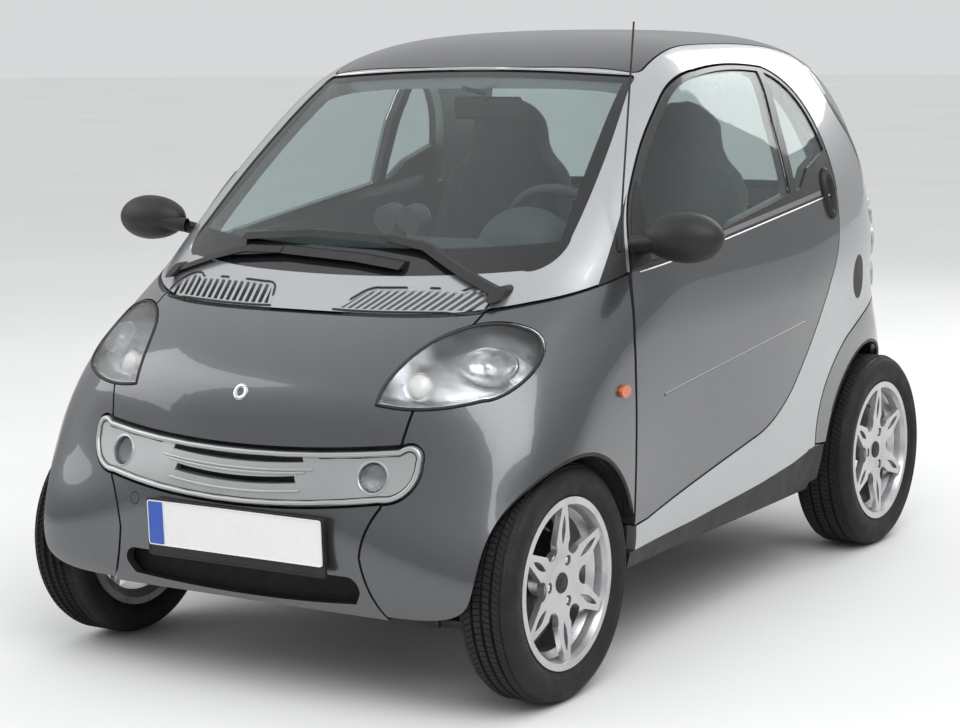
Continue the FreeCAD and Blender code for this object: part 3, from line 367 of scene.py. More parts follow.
ALLOY = finish("cast_alloy", (0.56, 0.56, 0.57), 0.32, 0.85, 0.35, 0.07, 9.0, 0.06,
               (700, 0.00008), 0.35, ((0.2, 0.18, 0.16), 0.35))
RUBBER = finish("tyre_rubber", (0.011, 0.011, 0.012), 0.68, 0.0, 0.0, 0.25, 10.0, 0.08,
                (500, 0.0004), 0.5, ((0.09, 0.085, 0.08), 0.14), 0, 0.35)
CHASSIS = finish("coated_metal", (0.04, 0.04, 0.042), 0.55, 0.3, 0.0, 0.3, 12.0, 0.1,
                 (250, 0.0005), 0.5, GRIME)
CABIN = finish("cabin_plastic", (0.055, 0.06, 0.068), 0.6, 0.0, 0.0, 0.12, 9.0, 0.05,
               (1300, 0.0003), 0.5)
CLOTH = finish("seat_cloth", (0.045, 0.05, 0.06), 0.9, 0.0, 0.0, 0.2, 30.0, 0.05,
               (1600, 0.0008), 0.7, None, 0, 0.3, 0.5)
RED = finish("red_lens", (0.42, 0.012, 0.012), 0.12, 0.0, 1.0, 0.12, 20.0, 0.03, (160, 0.0006), 0.5)
AMBER = finish("amber_lens", (0.56, 0.09, 0.006), 0.15, 0.0, 1.0, 0.1, 40.0, 0.03, (300, 0.0006), 0.6)
PLATE_WHITE = finish("plate_white", (0.78, 0.78, 0.77), 0.3, 0.0, 0.4, 0.02, 6.0, 0.04,
                     (500, 0.00005), 0.3)
PLATE_BLUE = finish("plate_blue", (0.01, 0.07, 0.42), 0.3, 0.0, 0.4, 0.05, 20.0, 0.04,
                    (500, 0.00005), 0.3)
# Near-black used as painted shade on the sheets behind the grille slots, the intake and the vent slats, and
# for the dark gap round the tow cover
SHADE_AND_GAP_BLACK = finish("painted_shade_and_gap_black", (0.006, 0.006, 0.006), 0.85, 0.0, 0.0, 0.3, 20.0, 0.05, (300, 0.0004), 0.5)
# Near-black for the seals round the headlamps and the vent surrounds, also used as painted shade in the
# insert's groove
SEAL_AND_GROOVE_SHADE = finish("rubber_seal_and_groove_shade", (0.012, 0.012, 0.012), 0.5, 0.0, 0.0, 0.25, 40.0, 0.06, (900, 0.0002), 0.4)
PEARL = finish("pearl_globe", (0.62, 0.6, 0.58), 0.18, 0.0, 0.8, 0.06, 40.0, 0.03, (200, 0.0004), 0.4)
SATIN_GREY = finish("satin_grey", (0.20, 0.20, 0.21), 0.4, 0.3, 0.2, 0.08, 6.0, 0.04, (900, 0.0001), 0.3)
MIRROR = finish("mirror_silver", (0.85, 0.87, 0.88), 0.02, 1.0, 0.0, 0.02, 6.0, 0.01, (20, 0.00002), 0.1)
CLOCK = finish("clock_face", (0.5, 0.55, 0.6), 0.25, 0.0, 0.8, 0.05, 30.0, 0.03, (200, 0.0001), 0.2)
PANE = glass("window_glass", TINT)
SCREEN = screen_glass(TINT)
LENS = glass("lamp_lens", (0.95, 0.96, 0.97), 0.0, (110.0, 0.00022))
CLEAR = glass("small_lens", (0.9, 0.92, 0.93), 0.05, (120.0, 0.0008))

# Each row: a finish and the nodes of the frame that have it
NODE_FINISHES = [
    (DARK_PAINT, ["door_left", "door_right", "bonnet", "front_fenders", "front_bumper", "rear_fenders",
                  "rear_bumper", "tail_flap"]),
    (sill_end_black(SILVER_PAINT), ["safety_cell"]),
    (SILVER_PAINT, ["cowl_vents", "tail_lamps"]),
    (ROOF_GLOSS, ["roof_panel"]),
    (FRAME_GLOSS, ["window_frame_left", "window_frame_right", "hatch_frame"]),
    (SATIN_SILVER, ["grille_insert"]),
    (PLASTIC, ["pillar_feet", "side_skirts", "quarter_covers", "wipers", "aerial", "mirror_left",
               "mirror_right"]),
    (LINER, ["wheel_liners", "panel_carriers"]),
    (AMBER, ["side_repeaters"]),
    (REFLECTOR, ["headlamp_housings"]),
    (LENS, ["headlamp_lenses"]),
    (CLEAR, ["fog_lamps"]),
    (SCREEN, ["windscreen"]),
    (PANE, ["door_glass_left", "door_glass_right", "hatch_glass"]),
    (ALLOY, ["rim_front_left", "rim_front_right", "rim_rear_left", "rim_rear_right"]),
    (RUBBER, ["tyre_front_left", "tyre_front_right", "tyre_rear_left", "tyre_rear_right"]),
    (CHASSIS, ["floor_pan", "front_subframe", "rear_axle", "engine_block", "silencer", "door_hinges",
               "knuckle_left", "knuckle_right"]),
    (CABIN, ["dashboard", "steering_wheel", "seat_bases"]),
    (CLOTH, ["seat_cushion_left", "seat_cushion_right", "seat_back_left", "seat_back_right"]),
]
for material, names in NODE_FINISHES:
    for name in names:
        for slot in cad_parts[name].material_slots:
            slot.material = material


def piece(name, bm, material, body, smooth=35.0):
    """A finished mesh as an object that rides on a body."""
    bmesh.ops.remove_doubles(bm, verts=bm.verts, dist=1e-6)
    bmesh.ops.recalc_face_normals(bm, faces=bm.faces)
    mesh = bpy.data.meshes.new(name)
    bm.to_mesh(mesh)
    bm.free()
    return dress(name, mesh, material, body, smooth)


def dress(name, mesh, material, body, smooth=35.0):
    mesh.materials.clear()
    mesh.materials.append(material)
    obj = bpy.data.objects.new(name, mesh)
    scene.collection.objects.link(obj)
    if smooth:
        mesh.shade_smooth()
        mesh.set_sharp_from_angle(angle=math.radians(smooth))
    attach(obj, body)
    return obj


def both_sides(obj, body="car_body"):
    """The same piece again on the car's right side, where it rides on body."""
    mesh = obj.data.copy()
    mesh.transform(Matrix.Scale(-1, 4, (1, 0, 0)))
    mesh.flip_normals()
    twin = bpy.data.objects.new(obj.name.replace("_left", "_right"), mesh)
    scene.collection.objects.link(twin)
    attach(twin, body)
    return twin


def bead(name, points, radius, material, body, closed=False, sides=3):
    """Round strip along points."""
    curve = bpy.data.curves.new(name, "CURVE")
    curve.dimensions = "3D"
    curve.bevel_depth = radius
    curve.bevel_resolution = sides
    curve.use_fill_caps = True
    spline = curve.splines.new("POLY")
    spline.points.add(len(points) - 1)
    for place, point in zip(spline.points, points):
        place.co = (*point, 1)
    spline.use_cyclic_u = closed
    carrier = bpy.data.objects.new(name + "_line", curve)
    scene.collection.objects.link(carrier)
    mesh = bpy.data.meshes.new_from_object(carrier)
    bpy.data.objects.remove(carrier)
    mesh.name = name
    return dress(name, mesh, material, body, 60)


def spun(places, centre, axis, steps, join):
    """Form spun about an axis from an open run of places; points nearer than join become one."""
    bm = bmesh.new()
    last = None
    for place in places:
        v = bm.verts.new(place)
        if last:
            bm.edges.new((last, v))
        last = v
    bmesh.ops.spin(bm, geom=bm.verts[:] + bm.edges[:], cent=centre, axis=axis, angle=2 * math.pi,
                   steps=steps, use_merge=True, use_duplicate=False)
    bmesh.ops.remove_doubles(bm, verts=bm.verts, dist=join)
    return bm


def turned(rows, centre, sign, steps):
    """Ring or disc about an axle from rows of depth behind the tyre's outer face and radius."""
    places = [(centre.x - sign * depth, centre.y, centre.z + radius) for depth, radius in rows]
    return spun(places, centre, (1, 0, 0), steps, 1e-5)


def round_form(rows, point, direction, wide=1.0, high=1.0, steps=48):
    """Turned form on a point, its axis along direction; rows are radius and height."""
    bm = spun([(radius, 0, height) for radius, height in rows], (0, 0, 0), (0, 0, 1), steps, 1e-6)
    bmesh.ops.scale(bm, vec=(wide, high, 1), verts=bm.verts)
    side = Vector((0, 0, 1)).cross(direction).normalized()
    up = direction.cross(side).normalized()
    turn = Matrix((side, up, direction)).transposed().to_4x4()
    bmesh.ops.transform(bm, matrix=Matrix.Translation(point) @ turn, verts=bm.verts)
    return bm


# Tyres and wheels
AXLE_Z = 0.284
TREAD_RADIUS = 0.2790
TREAD_EDGE = 0.0272
RIBS = 4
GROOVE = 0.006
GROOVE_SLOPE = 0.0012
GROOVE_RADIUS = 0.2735
SHOULDER_LOW = 0.2742
SHOULDER_HIGH = 0.2785
SHOULDER_DEPTH = 0.0206
LEAN_START = 0.265
LEAN_RANGE = 0.015
BLOCK_LEAN = 0.16
# Columns: end of the car, width of the tyre, x of its outer face, y of the axle
WHEELS = [
    ("front", 0.150, 0.728, -0.876),
    ("rear", 0.175, 0.744, 0.936),
]
# Columns: depth behind the outer face, radius
TYRE_SIDE = [
    (0.0184, 0.1904), (0.0184, 0.2045), (0.0125, 0.2105), (0.0075, 0.2195), (0.0060, 0.2215),
    (0.0042, 0.2240), (0.0016, 0.2330), (0.0010, 0.2420), (0.0006, 0.2460), (0.0014, 0.2475),
    (0.0014, 0.2500), (0.0008, 0.2515), (0.0026, 0.2590), (0.0068, 0.2672), (0.0120, 0.2726),
    (0.0150, 0.2745), (0.0262, 0.2787),
]
CAP = [
    (0.0300, 0.0), (0.0252, 0.0), (0.0256, 0.014), (0.0268, 0.0168), (0.0262, 0.0185),
    (0.0262, 0.0225), (0.0275, 0.0242), (0.0300, 0.0250),
]
BOLT_CIRCLE = 0.056
BOLT_ANGLES = (60, 180, 300)
BOLT_DEPTH = 0.0385
VALVE = [(0.024, 0.178), (0.010, 0.166)]
VALVE_ANGLE = 2.1


def tyre_section(width):
    """Closed run of depth and radius round a tyre's section, with the grooves of its tread."""
    rib = (width - 2 * TREAD_EDGE - GROOVE * (RIBS - 1)) / RIBS
    rows = list(TYRE_SIDE)
    depth = TREAD_EDGE
    for i in range(RIBS):
        rows += [(depth, TREAD_RADIUS), (depth + rib, TREAD_RADIUS)]
        depth += rib
        if i < RIBS - 1:
            rows += [(depth + GROOVE_SLOPE, GROOVE_RADIUS), (depth + GROOVE - GROOVE_SLOPE, GROOVE_RADIUS)]
            depth += GROOVE
    rows += [(width - d, r) for d, r in reversed(TYRE_SIDE)]
    return rows + rows[:1]


def tread_tyre(name, width, face, y, sign, body, node):
    centre = Vector((sign * face, y, AXLE_Z))
    bm = turned(tyre_section(width), centre, sign, 116)
    middle = centre.x - sign * width / 2

    def radius(place):
        return math.hypot(place.y - y, place.z - AXLE_Z)

    def on_shoulder(f):
        place = f.calc_center_median()
        depth = width / 2 - abs(place.x - middle)
        return SHOULDER_LOW < radius(place) < SHOULDER_HIGH and abs(depth - SHOULDER_DEPTH) < 0.004
    blocks = [f for f in bm.faces if all(abs(radius(v.co) - TREAD_RADIUS) < 2e-4 for v in f.verts)]
    bmesh.ops.inset_individual(bm, faces=blocks, thickness=0.0011, depth=0.0046, use_even_offset=True)
    shoulder = [f for f in bm.faces if on_shoulder(f)]
    bmesh.ops.inset_individual(bm, faces=shoulder, thickness=0.0016, depth=0.0022, use_even_offset=True)
    # The tread leans round the axle, the more the nearer to the tyre's sides
    for v in bm.verts:
        share = max(0.0, (radius(v.co) - LEAN_START) / LEAN_RANGE)
        lean = BLOCK_LEAN * min(1.0, share) * ((v.co.x - middle) / (width / 2)) ** 2
        v.co = Matrix.Rotation(lean, 3, "X") @ (v.co - centre) + centre
    tyre = piece(name, bm, RUBBER, body, 28)
    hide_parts(node)


def wheel_cap_and_bolts(name, face, y, sign, body):
    centre = Vector((sign * face, y, AXLE_Z))

    def on_wheel(depth, radius, angle):
        return centre + Vector((-sign * depth, radius * math.cos(angle), radius * math.sin(angle)))
    piece(name + "_cap", turned(CAP, centre, sign, 48), PLASTIC, body, 30)
    bolts = bmesh.new()
    turn = Matrix.Rotation(math.pi / 2 * sign, 4, "Y")
    for angle in BOLT_ANGLES:
        spot = Matrix.Translation(on_wheel(BOLT_DEPTH, BOLT_CIRCLE, math.radians(angle)))
        made = bmesh.ops.create_cone(bolts, cap_ends=True, segments=6, radius1=0.0094, radius2=0.0088,
                                     depth=0.011, matrix=spot @ turn)
        tops = [f for f in {f for v in made["verts"] for f in v.link_faces} if len(f.verts) == 6]
        bmesh.ops.inset_individual(bolts, faces=tops, thickness=0.003, depth=-0.003)
    bmesh.ops.bevel(bolts, geom=bolts.edges[:], offset=0.0004, segments=1, affect="EDGES", profile=0.5,
                    material=-1)
    piece(name + "_bolts", bolts, BRIGHT, body, 30)
    valve = [on_wheel(depth, radius, VALVE_ANGLE) for depth, radius in VALVE]
    bead(name + "_valve", valve, 0.0032, PLASTIC, body)


for end, width, face, y in WHEELS:
    for side, sign in (("left", 1), ("right", -1)):
        place = end + "_" + side
        tread_tyre("tread_" + place, width, face, y, sign, "wheel_" + place, "tyre_" + place)
        wheel_cap_and_bolts("hub_" + place, face, y, sign, "wheel_" + place)

# Black lips on the wheel arches. Columns: end of the car, y of the arch's middle, radius, nodes, first and
# last angle in degrees
ARCHES = [
    ("front", -0.876, 0.314, ["front_fenders"], 12, 165),
    ("rear", 0.906, 0.338, ["rear_fenders"], 12, 150),
]
LIP_RADIUS = 0.006


def arch_lip(name, y, radius, nodes, start, end):
    points = []
    for degrees in spaced(start, end, 48):
        angle = math.radians(degrees)
        outward = Vector((0, math.cos(angle), math.sin(angle)))
        hit = from_left(nodes, y + radius * outward.y, AXLE_Z + radius * outward.z)
        if hit and hit[0].x > 0:
            points.append(hit[0] - outward * LIP_RADIUS - hit[1] * 0.004)
    both_sides(bead("arch_lip_%s_left" % name, points, LIP_RADIUS, PLASTIC, "car_body"))


for row in ARCHES:
    arch_lip(*row)

# Front: plate on its holder, near-black boards behind the slots and the intake as painted shade, emblem ring,
# tow cover
PLATE_Y = -1.246
PLATE_LEAN = 0.02
# Columns: name, left and right x, bottom and top z, y, thickness, corner, finish, rim, slot, lean
BOARDS = [
    ("plate_holder", -0.246, 0.284, 0.328, 0.470, PLATE_Y + 0.006, 0.009, 0.008, PLASTIC, 0.004,
     "black_plastic", PLATE_LEAN),
    ("plate_face", -0.241, 0.279, 0.355, 0.465, PLATE_Y - 0.001, 0.0035, 0.007, PLATE_WHITE, 0.0025,
     "satin_insert", PLATE_LEAN),
    ("plate_band", -0.2375, -0.1940, 0.3585, 0.4615, PLATE_Y - 0.0024, 0.0012, 0.003, PLATE_BLUE, 0,
     "satin_insert", PLATE_LEAN),
    # The grille and intake backs are near-black boards that stand for painted shade behind the openings
    ("grille_back", -0.205, 0.205, 0.522, 0.606, -1.186, 0.004, 0.01, SHADE_AND_GAP_BLACK, 0, "black_plastic", 0),
    ("intake_back", -0.372, 0.372, 0.236, 0.345, -1.158, 0.004, 0.01, SHADE_AND_GAP_BLACK, 0, "black_plastic", 0),
]
EMBLEM_PIXEL = (241, 392)
TOW_X = -0.31
TOW_Z = 0.455


def board(name, x0, x1, z0, z1, y, thick, corner, material, rim, slot, lean):
    """Thin upright board with rounded corners and, with a rim, a sunk face to the front."""
    bm = bmesh.new()
    bmesh.ops.create_cube(bm, size=1, matrix=Matrix.Diagonal((x1 - x0, thick, z1 - z0, 1)))
    edges = [e for e in bm.edges if abs(e.verts[0].co.y - e.verts[1].co.y) > thick / 2]
    bmesh.ops.bevel(bm, geom=edges, offset=corner, segments=5, affect="EDGES", profile=0.5, material=-1)
    if rim:
        front = min(bm.faces, key=lambda f: f.calc_center_median().y)
        bmesh.ops.inset_region(bm, faces=[front], thickness=rim, depth=0)
        bmesh.ops.inset_region(bm, faces=[front], thickness=0.0008, depth=-0.0015)
    turn = Matrix.Rotation(lean, 4, "X")
    place = Matrix.Translation(((x0 + x1) / 2, y, (z0 + z1) / 2))
    bmesh.ops.transform(bm, matrix=place @ turn, verts=bm.verts)
    piece(name, bm, material, "car_body", 30)


def emblem():
    """Plain bright ring on the bonnet."""
    point, normal, _ = as_photographed(["bonnet"], *EMBLEM_PIXEL)
    rows = [(0.010, -0.001), (0.0103, 0.0022), (0.0135, 0.0036), (0.0180, 0.0036), (0.0206, 0.0022),
            (0.021, -0.001)]
    piece("emblem_ring", round_form(rows, point, normal), BRIGHT, "car_body", 40)


def tow_cover():
    point, normal, _ = from_front(["front_bumper"], TOW_X, TOW_Z)
    rows = [(0.0, 0.0006), (0.0135, 0.0004), (0.0142, -0.0008)]
    piece("tow_cover", round_form(rows, point, normal), DARK_PAINT, "car_body", 40)
    rim = [(0.0140, 0.0002), (0.0150, 0.0007), (0.0160, 0.0002)]
    piece("tow_cover_rim", round_form(rim, point, normal), SHADE_AND_GAP_BLACK, "car_body", 40)


for row in BOARDS:
    board(*row)
emblem()
tow_cover()


# Outlines in millimetres
def arc_points(a, m, b, count=9):
    """Points on the circle from a through m to b, without a."""
    (ax, ay), (bx, by), (cx, cy) = a, m, b
    d = 2 * (ax * (by - cy) + bx * (cy - ay) + cx * (ay - by))
    if abs(d) < 1e-6:
        return [b]
    qa, qb, qc = ax * ax + ay * ay, bx * bx + by * by, cx * cx + cy * cy
    ux = (qa * (by - cy) + qb * (cy - ay) + qc * (ay - by)) / d
    uy = (qa * (cx - bx) + qb * (ax - cx) + qc * (bx - ax)) / d
    r = math.hypot(ax - ux, ay - uy)
    start, mid, end = [math.atan2(y - uy, x - ux) for x, y in (a, m, b)]
    turn = (mid - start) % (2 * math.pi)
    whole = (end - start) % (2 * math.pi)
    if turn > whole:
        whole -= 2 * math.pi
    return [(ux + r * math.cos(start + whole * i / count), uy + r * math.sin(start + whole * i / count))
            for i in range(1, count + 1)]


# Longest piece of a straight run, and the least distance between the run's last point and its first
LONGEST_STEP = 22
LEAST_STEP = 2


def drawn(start, *steps):
    """Closed run of points in metres from an outline in millimetres: corners, or arcs by two points."""
    here = start
    points = [start]
    for step in list(steps) + [start]:
        if len(step) == 4:
            points += arc_points(here, step[:2], step[2:])
        else:
            count = max(1, int(math.hypot(step[0] - here[0], step[1] - here[1]) / LONGEST_STEP))
            points += list(zip(spaced(here[0], step[0], count), spaced(here[1], step[1], count)))[1:]
        here = points[-1]
    while math.hypot(points[-1][0] - points[0][0], points[-1][1] - points[0][1]) < LEAST_STEP:
        points.pop()
    return [(a / 1000, b / 1000) for a, b in points]


def drawn_in(points, inset):
    """The same run moved inwards."""
    area = sum(a[0] * b[1] - b[0] * a[1] for a, b in zip(points, points[1:] + points[:1]))
    sign = 1 if area > 0 else -1
    moved = []
    for i, (x, y) in enumerate(points):
        a, b = points[i - 1], points[(i + 1) % len(points)]
        dx, dy = b[0] - a[0], b[1] - a[1]
        size = math.hypot(dx, dy) or 1
        moved.append((x - sign * dy / size * inset, y + sign * dx / size * inset))
    return moved


# Left headlamp and grille insert in x and z, left vent in x and y
LAMP = drawn((362, 722), (376, 790, 418, 852), (508, 888, 600, 876), (641, 846, 657, 803),
             (642, 757, 590, 732), (470, 714, 362, 722))
INSERT = drawn((-434, 628), (0, 606, 434, 628), (487, 622, 491, 597), (478, 542, 401, 504),
               (0, 476, -401, 504), (-478, 542, -491, 597), (-487, 622, -434, 628))
VENT = drawn((96, -925), (132, -858), (150, -838, 178, -832), (402, -806), (470, -800, 484, -842),
             (470, -868, 436, -880), (250, -918, 96, -925))

# Lamps: round flasher bulb cover with its ring, bowl of the main lamp with its bulb shield
GLOBE_PIXEL = (416, 385)
BOWL_PIXEL = (488, 363)
SHIELD_PIXEL = (486, 364)
QUARTER = [math.radians(90 - 15 * i) for i in range(7)]
LAMP_AIM = Vector((0.15, -0.9, 0.1))
# Columns: name, pixel in the photograph, depth under the lens, rows of radius and height, finish, and the
# factors for width and height
LAMP_FORMS = [
    ("lamp_globe", GLOBE_PIXEL, 0.024, [(0.029 * math.cos(a), 0.020 * math.sin(a)) for a in QUARTER],
     PEARL, 1.0, 1.0),
    ("lamp_globe_ring", GLOBE_PIXEL, 0.024,
     [(0.0295, -0.004), (0.0305, 0.003), (0.0330, 0.004), (0.0350, 0.002), (0.0360, -0.004)],
     BRIGHT, 1.0, 1.0),
    ("lamp_bowl", BOWL_PIXEL, 0.027,
     [(0.012, -0.016), (0.024, -0.013), (0.036, -0.006), (0.044, 0.002), (0.046, 0.005), (0.0485, 0.005),
      (0.050, 0.001), (0.0505, -0.006)],
     REFLECTOR, 1.35, 0.92),
    ("lamp_shield", SHIELD_PIXEL, 0.036, [(0.015 * math.cos(a), 0.015 * math.sin(a)) for a in QUARTER],
     BRIGHT, 1.0, 1.0),
]
for name, pixel, deep, rows, material, wide, high in LAMP_FORMS:
    point, normal, _ = as_photographed(["headlamp_lenses"], *pixel)
    facing = (normal + LAMP_AIM).normalized()
    bm = round_form(rows, point - facing * deep, facing, wide, high, 40)
    both_sides(piece(name + "_left", bm, material, "car_body", 40))


def lamp_seal():
    """Thin black seal round each headlamp."""
    nodes = ["headlamp_lenses", "front_fenders", "bonnet"]
    points = run_on(from_front, nodes, drawn_in(LAMP, 0.002), 0.0002)
    both_sides(bead("lamp_seal_left", points, 0.0036, SEAL_AND_GROOVE_SHADE, "car_body", True))


# Ribs above and below the insert's slots. Columns: z in the middle, half the length, sag
INSERT_RIBS = [
    (0.5705, 0.225, 0.0100),
    (0.5625, 0.205, 0.0100),
    (0.5205, 0.195, 0.0105),
]


def insert_relief():
    """Rounded rim of the insert, a near-black bead along the groove inside it as painted shade, and the ribs.
    """
    def on_insert(places, lift):
        return run_on(from_front, ["grille_insert"], places, lift)
    points = on_insert(drawn_in(INSERT, 0.009), 0.0012)
    bead("insert_rim", points, 0.0062, SATIN_SILVER, "car_body", True)
    # The groove bead is painted shade: a near-black line sunk into the silver insert
    points = on_insert(drawn_in(INSERT, 0.0168), -0.0004)
    bead("insert_groove", points, 0.0014, SEAL_AND_GROOVE_SHADE, "car_body", True)
    for i, (z, half, sag) in enumerate(INSERT_RIBS):
        run = [(half * t, z - sag * (1 - t ** 2)) for t in spaced(-1, 1, 28)]
        bead("insert_rib_%d" % (i + 1), on_insert(run, 0.0006), 0.0034, SATIN_SILVER, "car_body")


def vent_details():
    """Black surround of each vent, and a near-black sheet under its slats as painted shade."""
    points = run_on(from_above, ["cowl_vents", "safety_cell", "bonnet"], VENT, 0.0014)
    both_sides(bead("vent_surround_left", points, 0.0026, SEAL_AND_GROOVE_SHADE, "car_body", True))
    # Near-black sheet below the slats, lowered into the vent: painted shade
    bm = bmesh.new()
    places = run_on(from_above, ["safety_cell", "cowl_vents"], drawn_in(VENT, 0.004), -0.0165)
    verts = [bm.verts.new(place) for place in places]
    edges = [bm.edges.new((a, b)) for a, b in zip(verts, verts[1:] + verts[:1])]
    bmesh.ops.triangle_fill(bm, use_beauty=True, use_dissolve=False, edges=edges)
    both_sides(piece("vent_back_left", bm, SHADE_AND_GAP_BLACK, "car_body", 0))


FOG_X = 0.376
FOG_Z = 0.56


def fog_details():
    """Bezel and bowl of each fog lamp."""
    point, normal, _ = from_front(["fog_lamps"], FOG_X, FOG_Z)
    bezel = [(0.0352, -0.004), (0.0352, 0.0045), (0.0372, 0.0062), (0.0402, 0.0054), (0.0418, 0.0026),
             (0.042, -0.002)]
    both_sides(piece("fog_bezel_left", round_form(bezel, point, normal), SATIN_SILVER, "car_body",
                     40))
    bowl = [(0.0, -0.028), (0.010, -0.0275), (0.022, -0.024), (0.031, -0.0215)]
    both_sides(piece("fog_bowl_left", round_form(bowl, point, normal), REFLECTOR, "car_body",
                     40))


lamp_seal()
insert_relief()
vent_details()
fog_details()

# Doors: bright line and strip at the belt, side crease, mirror shell, arm and glass, handle cup
DOOR_SKINS = ["door_left", "window_frame_left"]
BELT_START_Y = -0.7
BELT_START_Z = 0.962
BELT_RISE = 0.126
BELT_LENGTH = 1.46
BELT_LINE_DROP = 0.0035
STRIP_RISES = (0.006, 0.019)
CREASE_START = (-0.426, 0.663)
CREASE_END = (0.398, 0.739)
SHELL_AT = Vector((0.8395, -0.500, 1.0635))
SHELL_RADIUS = 0.0612
SHELL_INNER = 0.118
SHELL_OUTER = 0.0965
SHELL_BACK_Y = -0.4738
ARM_ROOT = Vector((0.700, -0.512, 1.046))
ARM_TIP = Vector((0.846, -0.5535, 1.066))
CUP_Y = 0.612
CUP_Z = 1.077
CUP_RADIUS = 0.034
MIRROR_AT = Vector((0.829, -0.4734, 1.0635))


def belt_height(y):
    return BELT_START_Z + BELT_RISE * (y - BELT_START_Y) / BELT_LENGTH


def on_both_doors(obj):
    both_sides(obj, "right_door")


def belt_line():
    places = [(y, belt_height(y) - BELT_LINE_DROP) for y in spaced(-0.50, 0.64, 60)]
    line = run_on(from_left, DOOR_SKINS, places, 0.0004)
    on_both_doors(bead("belt_line_left", line, 0.0019, BRIGHT, "left_door"))


def side_crease():
    places = zip(spaced(CREASE_START[0], CREASE_END[0], 50), spaced(CREASE_START[1], CREASE_END[1], 50))
    crease = run_on(from_left, ["door_left"], places, -0.0018)
    on_both_doors(bead("side_crease_left", crease, 0.0042, DARK_PAINT, "left_door", sides=4))


def belt_strip():
    strip = bmesh.new()
    last = None
    for y in spaced(-0.40, 0.56, 40):
        hits = [from_left(DOOR_SKINS, y, belt_height(y) + rise) for rise in STRIP_RISES]
        if not all(hits) or min(hit[0].x for hit in hits) < 0.3:
            continue
        pair = [strip.verts.new(hit[0] + hit[1] * 0.0007) for hit in hits]
        if last:
            strip.faces.new((last[0], pair[0], pair[1], last[1]))
        last = pair
    bmesh.ops.solidify(strip, geom=strip.faces[:], thickness=-0.0006)
    on_both_doors(piece("belt_strip_left", strip, SATIN_GREY, "left_door", 20))


def mirror_shell():
    """Egg-shaped housing, cut flat where the glass sits."""
    rows = []
    for i in range(25):
        angle = math.pi * i / 24
        reach = SHELL_INNER if i < 12 else SHELL_OUTER
        rows.append((SHELL_RADIUS * math.sin(angle), reach * -math.cos(angle)))
    bm = round_form(rows, SHELL_AT, Vector((1, 0, 0)), steps=44)
    cut = bmesh.ops.bisect_plane(bm, geom=bm.verts[:] + bm.edges[:] + bm.faces[:],
                                 plane_co=(0, SHELL_BACK_Y, 0), plane_no=(0, 1, 0), clear_outer=True)
    edges = [e for e in cut["geom_cut"] if isinstance(e, bmesh.types.BMEdge)]
    bmesh.ops.contextual_create(bm, geom=edges)
    on_both_doors(piece("mirror_shell_left", bm, PLASTIC, "left_door", 40))


def mirror_arm():
    run = ARM_TIP - ARM_ROOT
    length = run.length
    rows = [(0.0195, 0.0), (0.0190, 0.03), (0.0165, 0.08), (0.0132, length * 0.8),
            (0.0110, length * 0.92), (0.0068, length * 0.99), (0.0, length + 0.002)]
    form = round_form(rows, ARM_ROOT, run.normalized(), steps=28)
    on_both_doors(piece("mirror_arm_left", form, PLASTIC, "left_door", 40))


def handle_cup():
    """Tall oval cup of the door's handle."""
    point, normal, _ = from_left(DOOR_SKINS, CUP_Y, CUP_Z)
    rows = [(0.0, 0.0015), (0.55, 0.0015), (0.66, 0.0045), (0.78, 0.0105), (0.90, 0.0095), (0.98, 0.0045),
            (1.0, -0.002)]
    form = round_form([(share * CUP_RADIUS, height) for share, height in rows], point, normal, 1.0, 2.2)
    on_both_doors(piece("handle_cup_left", form, PLASTIC, "left_door", 30))


def mirror_glass():
    rows = [(0.0, 0.0012), (0.082, 0.0012), (0.0845, 0.0002)]
    form = round_form(rows, MIRROR_AT, Vector((0, 1, 0)), 1.0, 0.56)
    on_both_doors(piece("mirror_glass_left", form, MIRROR, "left_door", 30))


belt_line()
side_crease()
belt_strip()
mirror_shell()
mirror_arm()
handle_cup()
mirror_glass()


def roof_line():
    """Thin bright line between windscreen and roof."""
    places = [(x, TOP_Z + 0.003 - TOP_CURVE * x * x) for x in spaced(-0.462, 0.462, 40)]
    points = run_on(from_front, ["roof_panel", "safety_cell", "windscreen"], places, 0.0002)
    bead("roof_line", points, 0.0022, BRIGHT, "car_body")


roof_line()

# Cabin: seats, boss of the steering wheel, clock faces, inner mirror
PAD_VOXEL = 0.013
PAD_PRESSURE = 4
PAD_FRAMES = 15
SEAM_HALF_WIDTH = 0.012
SEAM_DEPTH = 0.009
# Columns: name of the pads, nodes that they replace, greatest swelling, distance of the seams from the middle
PADS = [
    ("seat_pad_", "seat_cushion_", 0.012, 0.145),
    ("seat_rest_", "seat_back_", 0.012, 0.14),
]
TILT = math.radians(28)
COLUMN = Vector((0, math.cos(TILT), math.sin(TILT)))
WHEEL_AT = Vector((0.345, -0.215, 1.0))
CLOCK_XS = (-0.034, 0.040)
CLOCK_Y = -0.462
CLOCK_Z = 1.086
CLOCK_FACING = Vector((0, 0.993, 0.118)).normalized()
INNER_MIRROR_SIZE = (0.215, 0.022, 0.062, 1)
INNER_MIRROR_AT = (0, -0.055, 1.345)


def evaluated_mesh(obj):
    return bpy.data.meshes.new_from_object(obj.evaluated_get(bpy.context.evaluated_depsgraph_get()))


